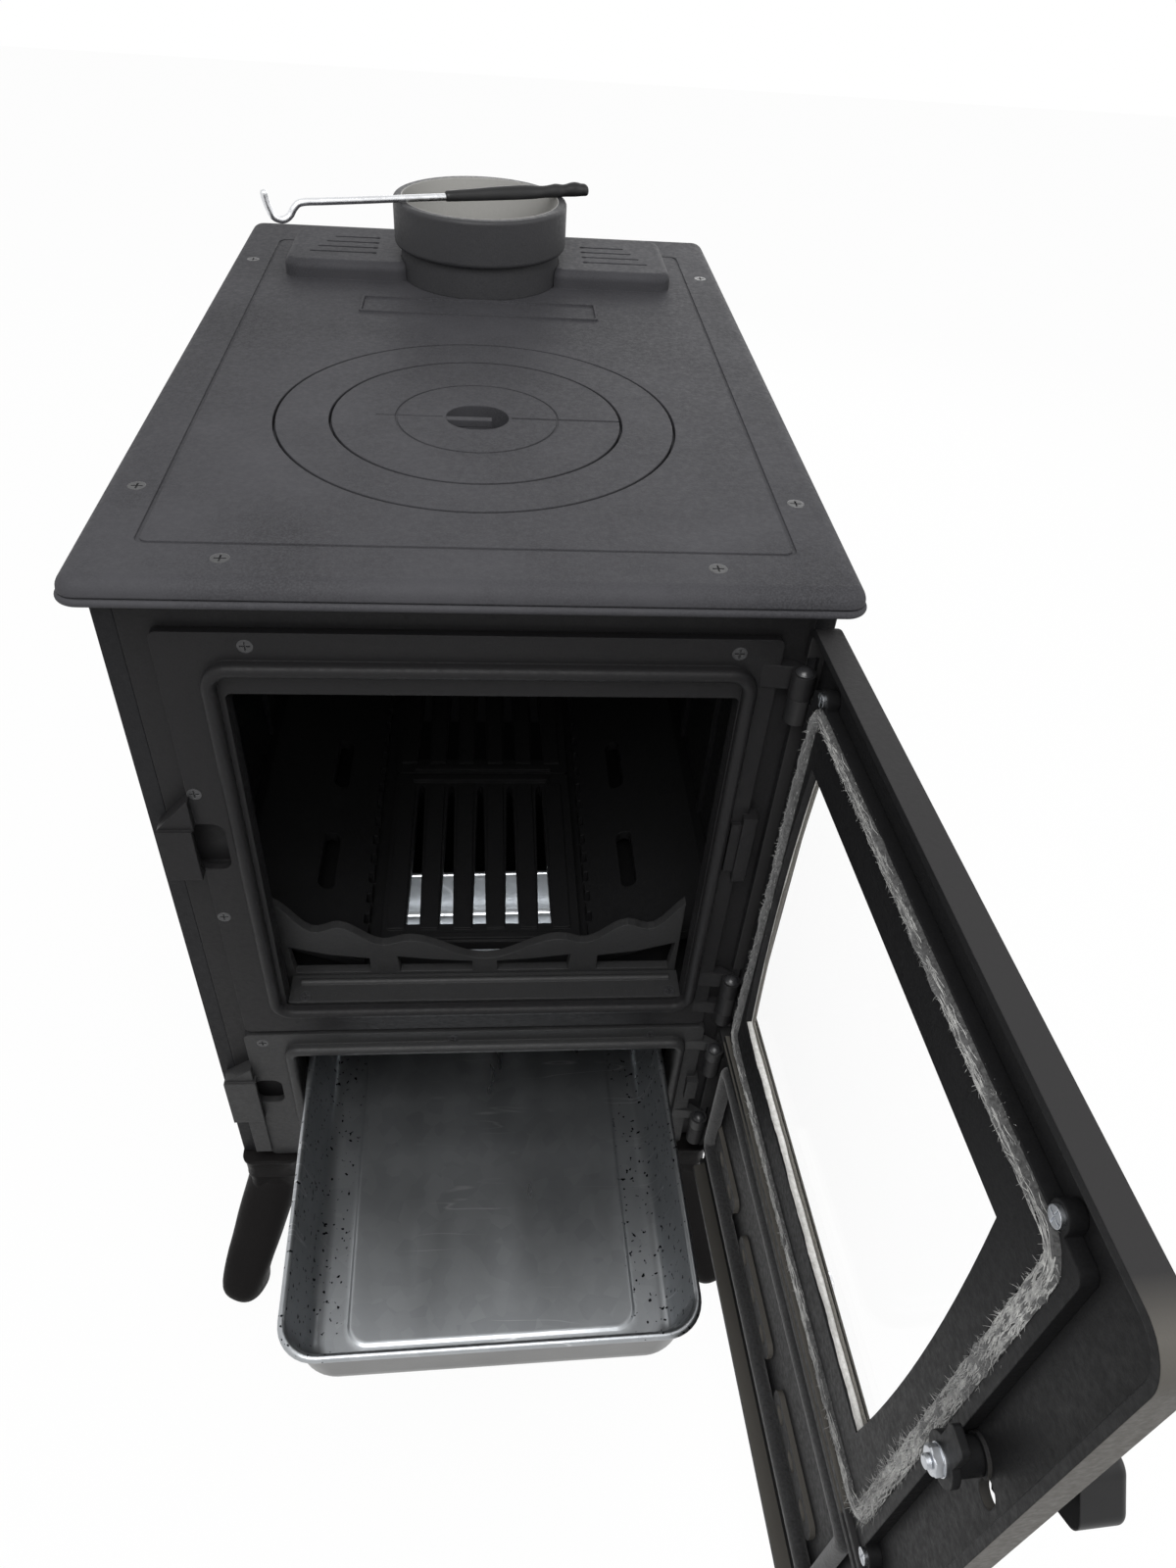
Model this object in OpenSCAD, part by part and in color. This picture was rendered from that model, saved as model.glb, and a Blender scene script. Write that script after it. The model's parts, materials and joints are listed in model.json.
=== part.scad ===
// Cast iron cooker stove on four curved legs: glass fire door, ash door with a coupled ash pan,
// hob ring and lid, flue collar, and a lid lifter laid across the collar.
// Millimetres, +Z up. Front faces -Y. Stove sizes are measured from the floor and the front plate,
// then every node is moved so that the centre of the flue collar's mouth is the origin.

/* [View] */
// Node to build ("all" or one node's name)
// Angle both doors stand open at
door_open = 93; // [0:1:118]

/* [Body] */
// Width across the side panels
body_w = 434; // [400:1:480]
// Depth of the side panels
body_d = 638; // [560:1:700]
// Height of the cooking surface above the floor
top_z = 770; // [700:1:860]
// Thickness of a cast wall
wall = 8; // [6:0.5:10]
// Underside of the body above the floor
body_z = 148; // [120:1:180]
// Width of the side panel's front return
front_return = 12; // [8:1:20]

/* [Top plate] */
// Width of the top plate
top_w = 454; // [440:1:500]
// Front overhang
top_front = 27; // [15:1:40]
// Back edge of the top plate
top_back = 655; // [600:1:720]
// Thickness of the top plate
top_t = 10; // [8:0.5:14]
// Depth of the moulded edge
edge_h = 16; // [12:1:30]
// Corner radius of the top plate
top_r = 14; // [14:1:24]
// Radius of the rounded shoulder
shoulder_r = 10; // [6:1:12]

/* [Hob] */
// Distance of the hob centre from the front
hob_y = 199.6; // [180:0.1:220]
// Radius of the hob ring
ring_r = 137.3; // [120:0.1:150]
// Radius of the lid
lid_r = 99.9; // [80:0.1:110]
// Gap round the ring and the lid
hob_gap = 2; // [1:0.1:2.5]
// Depth of the rebates
rebate = 6; // [4:0.5:8]

/* [Flue] */
// Distance of the flue centre from the front
flue_y = 514; // [480:1:540]
// Inside radius of the socket
socket_r = 68; // [60:0.5:78]
// Outside radius of the socket
collar_r = 76; // [70:0.5:85]
// Height of the socket's shoulder above the top plate
shoulder_z = 19; // [12:1:30]
// Outside radius of the ring under the socket
ring_base_r = 70.5; // [66:0.5:78]
// Height of the step under the socket
step_h = 26; // [22:1:34]
// Height of the collar above the top plate
collar_h = 64; // [50:1:80]

/* [Fire door] */
// Distance of the hinge axis from the centre
axis_x = 200; // [190:1:210]
// Depth of the hinge axis in front of the body
axis_y = -14; // [-20:1:-10]
// Radius of the hinge pins
pin_r = 3; // [2.5:0.1:4]
// Radius of the rope seal
rope_r = 6; // [4:0.5:8]
// Bottom of the fire door
fire_z0 = 345; // [340:1:350]
// Top of the fire door
fire_z1 = 738; // [700:1:742]
// Plate thickness of the doors
door_t = 5; // [4:0.5:7]
// Outside face of the doors
door_face = -31; // [-34:1:-28]
// Depth of the doors' rim
door_rim = 16; // [14:1:18]

/* [Latches] */
// Distance of the latch axis from the hinge axis
latch_s = 377; // [370:1:382]
// Height of the fire door's latch
fire_latch_z = 545; // [500:1:580]
// Height of the ash door's latch
ash_latch_z = 250; // [230:1:270]
// Radius of the latch shaft
shaft_r = 5; // [4:0.5:6]
// Length of the tongue
tongue_l = 27; // [20:1:30]

/* [Ash pan] */
// Length of the pan
pan_l = 458; // [380:1:480]
// Width of the pan at its rim
pan_w = 302; // [260:1:306]
// Height of the pan
pan_h = 56; // [40:1:60]
// How far the pan stands out in the photographed pose
pan_out = 240; // [0:1:245]
// Corner radius of the pan in plan
pan_r = 30; // [20:1:40]

/* [Legs] */
// Height of the square cap the legs start from
leg_cap = 44; // [30:1:56]
// Radius of the toe
toe_r = 24; // [18:1:28]
// How far the foot stands out from the cap's centre
leg_reach = 80; // [50:1:90]

/* [Clearances] */
// Radial clearance of a turning fit
run_fit = 0.05; // [0.02:0.01:0.1]
// Gap between pieces that move past each other
slip = 0.3; // [0.2:0.05:0.6]

/* [Hidden] */
eps = 1;
half_w = body_w / 2;
inner_w = half_w - wall;
flue_mouth_z = top_z + collar_h;
body_top = top_z - top_t;
side_x = half_w - front_return;
back_y = body_d - 12;
bolt_x = half_w - 27;
plate_t = 6;
edge_set = 1.5;
edge_w = 9.5;
edge_bead = 2.5;
hub_r = 8.5;
latch_x = axis_x - latch_s;
door_inner = door_face + door_t;
rim_y = door_face + door_rim;
door_x0 = axis_x - 411;
door_x1 = axis_x + 9;
grate_z = 370;
hearth_z = 350;
hearth_t = 8;
mouth_x0 = -150;
mouth_x1 = 165;
mouth_z0 = 369;
mouth_z1 = 682;
ash_x0 = -151;
ash_x1 = 167;
ash_z0 = 205;
ash_z1 = 310;
lip_w = 9;
sill_z = mouth_z0 + 5;
sill_screw_x = [-137, 156];
lip_y = -14;
rope_top = 697;
pan_x = 8;
guard_x = 5;
pan_z = 236.3;
knuckle_r = 7.5;
iron = [0.21, 0.21, 0.22];
iron_dark = [0.10, 0.10, 0.11];
zinc = [0.72, 0.73, 0.75];
galvanised = [0.55, 0.57, 0.59];

// ---------- placing ----------

module placed() {
  translate([0, -flue_y, -flue_mouth_z])
    children();
}

// A door is drawn shut and turned to its open pose about the hinge axis.
module swung() {
  translate([axis_x, axis_y, 0])
    rotate([0, 0, door_open])
      translate([-axis_x, -axis_y, 0])
        children();
}

module both_sides() {
  for (m = [0, 1])
    mirror([m, 0, 0])
      children();
}

// ---------- shared shapes ----------

// Rounded rectangle given by its limits.
module limits(a0, a1, b0, b1, r) {
  translate([a0 + r, b0])
    square([a1 - a0 - 2 * r, b1 - b0]);
  translate([a0, b0 + r])
    square([a1 - a0, b1 - b0 - 2 * r]);
  for (a = [a0 + r, a1 - r])
    for (b = [b0 + r, b1 - r])
      translate([a, b])
        circle(r = r);
}

// Children drawn in x and z become a plate between two depths.
module upright(y0, y1) {
  translate([0, y1, 0])
    rotate([90, 0, 0])
      linear_extrude(height = y1 - y0)
        children();
}

// Children drawn in x and y become a plate between two heights.
module flat(z0, z1) {
  translate([0, 0, z0])
    linear_extrude(height = z1 - z0)
      children();
}

// Children drawn in y and z become a plate between two sides.
module sideways(x0, x1) {
  translate([x0, 0, 0])
    rotate([90, 0, 90])
      linear_extrude(height = x1 - x0)
        children();
}

module block(x0, x1, y0, y1, z0, z1) {
  translate([x0, y0, z0])
    cube([x1 - x0, y1 - y0, z1 - z0]);
}

// Round bar along Y between two depths.
module pin_y(x, z, r, y0, y1) {
  translate([x, y1, z])
    rotate([90, 0, 0])
      cylinder(r = r, h = y1 - y0);
}

module pin_z(x, y, r, z0, z1) {
  translate([x, y, z0])
    cylinder(r = r, h = z1 - z0);
}

// The child's profile (x outwards, y upwards) swept round a rounded rectangle.
module loop(w, d, r) {
  for (q = [0 : 3]) {
    run = q % 2 == 0 ? d : w;
    off = q % 2 == 0 ? w : d;
    rotate([0, 0, 90 * q])
      translate([off / 2, 0, 0])
        rotate([90, 0, 0])
          translate([0, 0, -(run / 2 - r)])
            linear_extrude(height = run - 2 * r)
              children();
    rotate([0, 0, 90 * q])
      translate([off / 2 - r, run / 2 - r, 0])
        rotate_extrude(angle = 90)
          translate([r, 0])
            children();
  }
}

// The same loop standing upright, its profile's y pointing forward.
module front_loop(x0, x1, z0, z1, r, y) {
  translate([(x0 + x1) / 2, y, (z0 + z1) / 2])
    rotate([90, 0, 0])
      loop(x1 - x0, z1 - z0, r)
        children();
}

// Raised lip a door's rope presses on: flat sided with a round front.
module lip_profile(h) {
  translate([-lip_w / 2, 0])
    square([lip_w, h - lip_w / 2]);
  translate([0, h - lip_w / 2])
    circle(d = lip_w);
}

// Countersunk screw heads and shanks along -Y, seated in a plate's face at depth y.
module flush_screw(x, z, y) {
  translate([x, y, z])
    rotate([-90, 0, 0]) {
      cylinder(r1 = 4.8, r2 = 2.5, h = 2.6);
      cylinder(r = 2.5, h = 12);
    }
}

// ---------- top ----------

// Rounded shoulder, a thin groove and a bead under it; x = 0 is the plate's outer edge.
module edge_profile() {
  shoulder_x = -edge_set - shoulder_r;
  translate([-top_r, body_top])
    square([top_r + shoulder_x + 0.01, top_t]);
  intersection() {
    translate([shoulder_x, top_z - shoulder_r])
      circle(r = shoulder_r);
    translate([shoulder_x, top_z - shoulder_r])
      square(shoulder_r);
  }
  translate([-edge_w, top_z - edge_h + 4])
    square([edge_w - 3, edge_h - 4 - shoulder_r + 0.5]);
  translate([-edge_w, top_z - edge_h])
    square([edge_w - edge_bead, 2 * edge_bead]);
  translate([-edge_bead, top_z - edge_h + edge_bead])
    circle(r = edge_bead);
}

// A slab whose top edge is rounded all round: child-free, centred in plan.
module soft_slab(w, d, h, rc, re) {
  linear_extrude(height = h - re)
    limits(-w / 2, w / 2, -d / 2, d / 2, rc);
  linear_extrude(height = h)
    limits(re - w / 2, w / 2 - re, re - d / 2, d / 2 - re, rc - re);
  translate([0, 0, h - re])
    loop(w - 2 * re, d - 2 * re, rc - re)
      intersection() {
        circle(r = re);
        square(re);
      }
}

top_screw_spots = [[-204, 85], [-140, 2], [140, 1], [203, 83], [-206, 530], [206, 530]];

module top_plate() {
  color(iron)
  placed()
  difference() {
    union() {
      flat(body_top, top_z)
        limits(top_r - top_w / 2, top_w / 2 - top_r, top_r - top_front, top_back - top_r, 1);
      translate([0, (top_back - top_front) / 2, 0])
        loop(top_w, top_back + top_front, top_r)
          edge_profile();
      // thickened rim under the hob ring
      pin_z(0, hob_y, ring_r + 9, top_z - rebate - 8, body_top + eps);
      // raised pads each side of the collar
      both_sides()
        translate([116, 538, top_z - eps])
          soft_slab(112, 110, 15 + eps, 16, 7);
      // bare nameplate: a thin raised border
      difference() {
        flat(top_z - eps, top_z + 1.6)
          limits(-100, 100, 403, 441, 2);
        flat(top_z, top_z + 3)
          limits(-97.8, 97.8, 405.2, 438.8, 1);
      }
      pin_z(0, flue_y, 80, body_top - 4, body_top + eps);
    }
    pin_z(0, hob_y, ring_r + hob_gap, top_z - rebate, top_z + eps);
    pin_z(0, hob_y, 129, body_top - 20, top_z);
    // hole and seat for the collar
    pin_z(0, flue_y, 62, body_top - 20, top_z + 20);
    pin_z(0, flue_y, ring_base_r + slip, top_z, top_z + 20);
    for (a = [30, 150, 270])
      translate([66 * cos(a), flue_y + 66 * sin(a), body_top - 8])
        cylinder(r = 2.5, h = 30);
    // engraved line round the cooking surface
    difference() {
      flat(top_z - 1, top_z + 0.5)
        limits(-190.8, 190.8, 16.7, 594.3, 7);
      flat(top_z - 2, top_z + 1)
        limits(-188.2, 188.2, 19.3, 591.7, 5);
      both_sides()
        block(60, 173, 483, 592, top_z - 2, top_z + 1);
    }
    for (p = top_screw_spots)
      translate([p[0], p[1], 0]) {
        translate([0, 0, top_z - 3])
          cylinder(r1 = 2.5, r2 = 5.5, h = 3);
        translate([0, 0, body_top - 16])
          cylinder(r = 2.5, h = 30);
      }
    // grooves in the pads
    both_sides()
      for (k = [0 : 3]) {
        translate([0, 512 + 15 * k, top_z + 11.5])
          linear_extrude(height = 8)
            limits(94, 152 - 6 * k, -1.6, 1.6, 1.5);
        translate([95, 512 + 15 * k, top_z + 8])
          cylinder(r = 2.5, h = 10);
      }
  }
}

module flue_collar() {
  color(iron)
  placed()
  translate([0, flue_y, 0])
  difference() {
    rotate_extrude() {
      translate([59, top_z - 12])
        square([2.7, 13]);
      translate([59, top_z])
        square([ring_base_r - 59, shoulder_z]);
      translate([socket_r - 3, top_z + shoulder_z - eps])
        square([ring_base_r - socket_r + 3, step_h - shoulder_z + 3]);
      translate([collar_r - 4, top_z + step_h + 4])
        circle(r = 4);
      translate([socket_r - 1, top_z + step_h])
        square([collar_r - socket_r - 3, 6]);
      translate([socket_r - 1, top_z + step_h + 4])
        square([collar_r - socket_r + 1, collar_h - step_h - 7]);
      translate([socket_r - 1, top_z + collar_h - 4])
        square([collar_r - socket_r - 2, 4]);
      translate([collar_r - 3, top_z + collar_h - 3])
        circle(r = 3);
    }
    cylinder(r = 59, h = 2 * top_z);
    translate([0, 0, top_z + shoulder_z])
      cylinder(r = socket_r, h = collar_h);
    for (a = [30, 150, 270])
      translate([66 * cos(a), 66 * sin(a), top_z - eps])
        cylinder(r = 2.5, h = 12 + eps);
  }
}

module collar_bolts() {
  color(zinc)
  placed()
  for (a = [30, 150, 270])
    translate([66 * cos(a), flue_y + 66 * sin(a), 0]) {
      translate([0, 0, body_top - 8])
        cylinder(r = 5, h = 4, $fn = 6);
      translate([0, 0, body_top - 5])
        cylinder(r = 2.5, h = 25);
    }
}

module top_screws() {
  color(zinc)
  placed()
  for (p = top_screw_spots)
    translate([p[0], p[1], 0])
      difference() {
        union() {
          translate([0, 0, top_z - 3])
            cylinder(r1 = 2.5, r2 = 5.5, h = 3);
          translate([0, 0, body_top - 10])
            cylinder(r = 2.5, h = top_t + 8);
        }
        block(-3.5, 3.5, -0.6, 0.6, top_z - 1.2, top_z + eps);
        block(-0.6, 0.6, -3.5, 3.5, top_z - 1.2, top_z + eps);
      }
}

// ---------- hob ----------

module hob_ring() {
  color(iron)
  placed()
  translate([0, hob_y, 0])
  difference() {
    union() {
      translate([0, 0, top_z - rebate])
        cylinder(r = ring_r, h = rebate);
      translate([0, 0, top_z - 2 * rebate - 1])
        cylinder(r = 125, h = rebate + 1 + eps);
    }
    translate([0, 0, top_z - rebate])
      cylinder(r = lid_r + hob_gap, h = rebate + eps);
    translate([0, 0, top_z - 20])
      cylinder(r = 92, h = 30);
  }
}

module hob_lid() {
  color(iron)
  placed()
  translate([0, hob_y, 0])
  difference() {
    union() {
      translate([0, 0, top_z - rebate])
        cylinder(r = lid_r, h = rebate);
      translate([0, 0, top_z - rebate - 5])
        cylinder(r = 90, h = 5 + eps);
      translate([0, 0, top_z - 20])
        cylinder(r = 29, h = 18);
    }
    // oval pocket for the lifter, with its bar left standing
    difference() {
      flat(top_z - 16, top_z + eps)
        limits(-22, 22, -20, 20, 19.9);
      block(-22, 10, -3, 3, top_z - 6, top_z - 1);
    }
    // engraved circle and line
    difference() {
      translate([0, 0, top_z - 0.8])
        cylinder(r = 57, h = 2);
      translate([0, 0, top_z - 1.5])
        cylinder(r = 55.4, h = 3);
    }
    block(24, lid_r + 2, -1.2, 1.2, top_z - 1, top_z + eps);
    block(-lid_r + 30, -24, -0.6, 0.6, top_z - 0.6, top_z + eps);
  }
}

// ---------- lid lifter ----------

tool_z = flue_mouth_z + 3;
tool_yaw = 18.4;
tool_tip = [96.2, 538.8];
grip_l = 133;

// Children drawn along X from the grip's tip at 0.
module laid_tool() {
  translate([tool_tip[0], tool_tip[1], tool_z])
    rotate([0, 0, tool_yaw])
      children();
}

module rod_to(p, q, r) {
  v = q - p;
  l = norm(v);
  translate(p)
    rotate([0, acos(v[2] / l), atan2(v[1], v[0])])
      cylinder(r = r, h = l);
  translate(q)
    sphere(r = r + 0.12);
}

module tool_rod() {
  color(zinc)
  placed()
  laid_tool() {
    path = [[-grip_l + 8, 0, 0], [-258, 0, 0], [-264, 0, -7], [-272, 0, -12.5], [-281, 0, -7],
      [-285, 0, 10]];
    for (i = [0 : len(path) - 2])
      rod_to(path[i], path[i + 1], 2.9);
  }
}

module tool_grip() {
  color(iron_dark)
  placed()
  laid_tool()
  difference() {
    translate([-grip_l, 0, 0])
      rotate([0, 90, 0])
        rotate_extrude()
          polygon(concat([[0, 0]],
            [for (i = [0 : 40]) [grip_radius(i / 40), grip_l * i / 40]],
            [[0, grip_l]]));
    translate([-grip_l - eps, 0, 0])
      rotate([0, 90, 0])
        cylinder(r = 2.95, h = 9.3);
    // underside flat: it lies on the collar's rim
    block(-grip_l - 5, 5, -20, 20, -20, -3);
  }
}

function grip_radius(t) =
  5.6 + 2.2 * sin(180 * t) + 1.1 * sin(180 * t) * sin(540 * t) - 2.4 * pow(t, 6);

// ---------- body ----------

module front_plate() {
  color(iron_dark)
  placed()
  difference() {
    union() {
      upright(0, wall)
        translate([-side_x + 0.2, body_z + 9])
          square([2 * side_x - 0.4, body_top - body_z - 9]);
      for (x = [-140, 140])
        block(x - 8, x + 8, -4, wall + 6, body_top - 12, body_top);
    }
    upright(-eps, wall + eps)
      limits(mouth_x0 - 6, mouth_x1 + 6, mouth_z0 - 6, mouth_z1 + 6, 10);
    upright(-eps, wall + eps)
      limits(ash_x0 - 6, ash_x1 + 6, ash_z0 - 6, ash_z1 + 6, 8);
    block(-192, -167, -eps, 5, 528, 575);
    block(-192, -167, -eps, 5, ash_latch_z - 20, ash_latch_z + 24);
    for (x = [-140, 140])
      pin_z(x, x < 0 ? 2 : 1, 2.5, body_top - 11, body_top + eps);
    for (p = fire_screw_spots)
      pin_y(p[0], p[1], 2.5, -eps, 6.2);
    for (p = ash_screw_spots)
      pin_y(p[0], p[1], 2.5, -eps, 6.2);
  }
}

fire_screw_spots = [[-133, 716.5], [160, 715.5], [-182, 600], [-182, 480]];
ash_screw_spots = [[-176, 324], [-21, 325], [144, 325]];

// The catch a latch tongue turns in behind, cast on the frame's free side.
module keeper(z) {
  difference() {
    union() {
      block(-210, -187, -14.5, 0, z - 17, z + 28);
      upright(-12, 0)
        polygon([[-210, z + 27], [-186, z + 27], [-186, z + 53], [-187, z + 53], [-210, z + 28]]);
    }
    block(-206, -180, -11, -plate_t, z - 10, z + 27.5);
  }
}

// Arm and eye of a hinge, cast on the frame.
module hinge_ear(z0, z1) {
  flat(z0, z1)
    difference() {
      union() {
        translate([axis_x, axis_y])
          circle(r = knuckle_r);
        polygon([[axis_x - 5, axis_y + 5.6], [axis_x + 6, axis_y + 4.5], [axis_x - 6, 0],
          [axis_x - 24, 0], [axis_x - 24, -plate_t]]);
      }
      translate([axis_x, axis_y])
        circle(r = pin_r + run_fit);
    }
}

module frame_plate(x0, x1, z0, z1, ox0, ox1, oz0, oz1, r, deep) {
  difference() {
    union() {
      upright(-plate_t, 0)
        limits(x0, x1, z0, z1, 5);
      upright(-plate_t, deep)
        limits(ox0 - 5.7, ox1 + 5.7, oz0 - 5.7, oz1 + 5.7, r + 5.7);
    }
    upright(-60, 60)
      limits(ox0, ox1, oz0, oz1, r);
  }
}

module fire_frame() {
  color(iron)
  placed()
  difference() {
    union() {
      frame_plate(-187, 187, 340.5, 726, mouth_x0, mouth_x1, mouth_z0, mouth_z1, 4, 9);
      front_loop(-158, 170, 369, 702, 14, -plate_t + eps)
        lip_profile(-lip_y - plate_t + eps);
      keeper(fire_latch_z);
      hinge_ear(691, 708);
      hinge_ear(392, 408);
      hinge_ear(357, 369.7);
      block(183, 193, -12, 0, 520, 582);
      block(176, 187, -9, 0, 528, 574);
    }
    // pocket for the latch nut
    upright(-plate_t - eps, eps)
      limits(-191, -168, 530, 573, 8);
    for (p = fire_screw_spots)
      flush_hole(p[0], p[1], -plate_t);
    for (x = sill_screw_x)
      pin_z(x, 3, 2.5, sill_z - 10, mouth_z0 + eps);
  }
}

// Loose sill screwed down in the bottom of the mouth, with a bead along its inner edge.
module sill_plate() {
  color(iron)
  placed()
  difference() {
    union() {
      upright(-3, 24)
        polygon([[mouth_x0 + 4.2, mouth_z0], [mouth_x1 - 4.2, mouth_z0],
          [mouth_x1 - slip, mouth_z0 + 4.2], [mouth_x1 - slip, sill_z],
          [mouth_x0 + slip, sill_z], [mouth_x0 + slip, mouth_z0 + 4.2]]);
      translate([mouth_x0 + 8, 17, sill_z - 0.5])
        rotate([0, 90, 0])
          cylinder(r = 3, h = mouth_x1 - mouth_x0 - 16);
    }
    for (x = sill_screw_x) {
      translate([x, 3, sill_z - 2.6])
        cylinder(r1 = 2.5, r2 = 4.8, h = 2.6);
      pin_z(x, 3, 2.5, mouth_z0 - eps, sill_z - 2);
    }
  }
}

module sill_screws() {
  color(zinc)
  placed()
  for (x = sill_screw_x)
    difference() {
      union() {
        translate([x, 3, sill_z - 2.6])
          cylinder(r1 = 2.5, r2 = 4.8, h = 2.6);
        pin_z(x, 3, 2.5, sill_z - 9, sill_z - 2);
      }
      block(x - 3, x + 3, 2.5, 3.5, sill_z - 1.1, sill_z + eps);
      block(x - 0.5, x + 0.5, 0, 6, sill_z - 1.1, sill_z + eps);
    }
}

module flush_hole(x, z, y) {
  translate([x, y, z])
    rotate([-90, 0, 0]) {
      cylinder(r1 = 4.8, r2 = 2.5, h = 2.6);
      cylinder(r = 2.5, h = 14);
    }
}

module slotted_screw(x, z, y) {
  difference() {
    flush_screw(x, z, y);
    block(x - 3, x + 3, y - eps, y + 1.1, z - 0.5, z + 0.5);
    block(x - 0.5, x + 0.5, y - eps, y + 1.1, z - 3, z + 3);
  }
}

module fire_frame_screws() {
  color(zinc)
  placed()
  for (p = fire_screw_spots)
    slotted_screw(p[0], p[1], -plate_t);
}

module ash_frame() {
  color(iron)
  placed()
  difference() {
    union() {
      frame_plate(-190, 190, 150.5, 335, ash_x0, ash_x1, ash_z0, ash_z1, 3, 20);
      front_loop(-155, 171, 201, 318, 8, -plate_t + eps)
        lip_profile(-lip_y - plate_t + eps);
      keeper_small(ash_latch_z);
      hinge_ear(304, 315);
      hinge_ear(196, 208);
      block(183, 193, -12, 0, 235, 262);
    }
    upright(-plate_t - eps, eps)
      limits(-191, -168, ash_latch_z - 13, ash_latch_z + 20, 8);
    for (p = ash_screw_spots)
      flush_hole(p[0], p[1], -plate_t);
  }
}

module keeper_small(z) {
  difference() {
    union() {
      block(-213, -187, -14.5, 0, z - 31, z + 28);
      upright(-12, 0)
        polygon([[-213, z + 27], [-189, z + 27], [-189, z + 44], [-190, z + 44], [-213, z + 28]]);
      // stem running down the frame's edge
      block(-203, -189, -9, 0, 160, z - 31);
    }
    block(-209, -180, -11, -plate_t, z - 30, z + 27.5);
  }
}

module ash_frame_screws() {
  color(zinc)
  placed()
  for (p = ash_screw_spots)
    slotted_screw(p[0], p[1], -plate_t);
}

// One side panel, its front edge wrapped round the corner, drawn for the right side.
module side_panel() {
  sideways(inner_w, half_w)
    translate([0, body_z])
      square([body_d, body_top - body_z]);
  flat(body_z, body_top)
    polygon([[side_x, 0], [half_w - 4, 0], [half_w, 4], [half_w, 14], [inner_w, 14],
      [inner_w, 8.2], [side_x, 8.2]]);
  // ledges for the hearth plate and lugs for the top screws
  block(inner_w - 8, inner_w + eps, 30, body_d - 28, hearth_z - 10, hearth_z);
  for (y = [84, 530])
    block(inner_w - 12, inner_w + eps, y - 9, y + 9, body_top - 14, body_top);
}

module side_cuts(right) {
  for (y = [right ? 83 : 85, 530])
    pin_z(y == 530 ? 206 : (right ? 203 : 204), y, 2.5, body_top - 13, body_top + eps);
}

module side_panel_left() {
  color(iron_dark)
  placed()
  mirror([1, 0, 0])
  difference() {
    side_panel();
    side_cuts(false);
  }
}

module side_panel_right() {
  color(iron_dark)
  placed()
  difference() {
    side_panel();
    side_cuts(true);
  }
}

module back_panel() {
  color(iron_dark)
  placed()
  difference() {
    upright(back_y, back_y + wall)
      translate([-inner_w + 0.2, body_z + 9])
        square([2 * inner_w - 0.4, body_top - body_z - 9]);
    // shallow panel pressed into the middle
    upright(back_y + wall - 2, back_y + wall + eps)
      limits(-160, 160, 380, 700, 12);
  }
}

module base_plate() {
  color(iron_dark)
  placed()
  difference() {
    flat(body_z, body_z + 9)
      limits(-inner_w + 0.2, inner_w - 0.2, 8.5, back_y + wall, 2);
    for (x = [-bolt_x, bolt_x])
      for (y = [26, body_d - 26])
        pin_z(x, y, 4, body_z - eps, body_z + 10);
  }
}

// ---------- inside the fire ----------

module hearth_plate() {
  color(iron_dark)
  placed()
  difference() {
    flat(hearth_z, hearth_z + hearth_t)
      limits(4 - inner_w, inner_w - 4, 8.5, back_y - 0.3, 3);
    flat(hearth_z - eps, hearth_z + hearth_t + eps)
      limits(-76, 76, 60, 480, 6);
  }
}

// Sloping cheek beside the grate, drawn for the right side.
module cheek() {
  difference() {
    translate([0, 492, 0])
      rotate([90, 0, 0])
        linear_extrude(height = 452)
          polygon([[94, 358], [94, 371], [110, 378], [192, 414], [inner_w - 8.3, 414],
            [inner_w - 8.3, 358], [inner_w - 14, 358], [inner_w - 14, 406], [112, 369], [100, 364], [100, 358]]);
    for (y = [107, 237])
      flat(360, 420)
        limits(125.5, 138.5, y, y + 68, 6.4);
    // toothed air gaps along the grate
    for (y = [80 : 24 : 460])
      flat(359, 420)
        limits(90, 98, y, y + 11, 1);
  }
}

module cheek_left() {
  color(iron_dark)
  placed()
  mirror([1, 0, 0])
  cheek();
}

module cheek_right() {
  color(iron_dark)
  placed()
  cheek();
}

module liner() {
  block(inner_w - 8, inner_w - 2.5, 34, body_d - 21, hearth_z + hearth_t, 712);
  for (y = [60 : 110 : body_d - 38])
    block(inner_w - 12, inner_w - 7, y, y + 7, 416, 706);
}

module side_liner_left() {
  color(iron_dark)
  placed()
  mirror([1, 0, 0])
  liner();
}

module side_liner_right() {
  color(iron_dark)
  placed()
  liner();
}

module back_liner() {
  color(iron_dark)
  placed()
  union() {
    block(13 - inner_w, inner_w - 13, back_y - 7, back_y - 0.3, hearth_z + hearth_t, 690);
    for (x = [-160 : 40 : 160])
      block(x - 3.5, x + 3.5, back_y - 11, back_y - 6, 380, 680);
  }
}

// Five tapered slots between raised ends.
module grate(y0, y1) {
  l = y1 - y0;
  difference() {
    union() {
      flat(hearth_z + hearth_t, grate_z - 2)
        limits(-83, 87, y0, y1, 4);
      for (k = [-2.5 : 1 : 2.5])
        block(28.5 * k - 7.5, 28.5 * k + 7.5, y0 + 14, y1 - 18, grate_z - 3, grate_z);
      block(-66, 66, y1 - 14, y1 - 7, grate_z - 3, grate_z + 2);
      block(-66, 70, y0 + 2, y0 + 8, grate_z - 3, grate_z + 1);
    }
    for (k = [-2 : 2])
      flat(hearth_z, grate_z + 4)
        polygon([[28.5 * k - 5.8, y0 + 20], [28.5 * k + 5.8, y0 + 20],
          [28.5 * k + 2.8, y0 + l - 24], [28.5 * k, y0 + l - 17], [28.5 * k - 2.8, y0 + l - 24]]);
  }
}

module grate_front() {
  color(iron_dark)
  placed()
  grate(62, 279);
}

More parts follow.
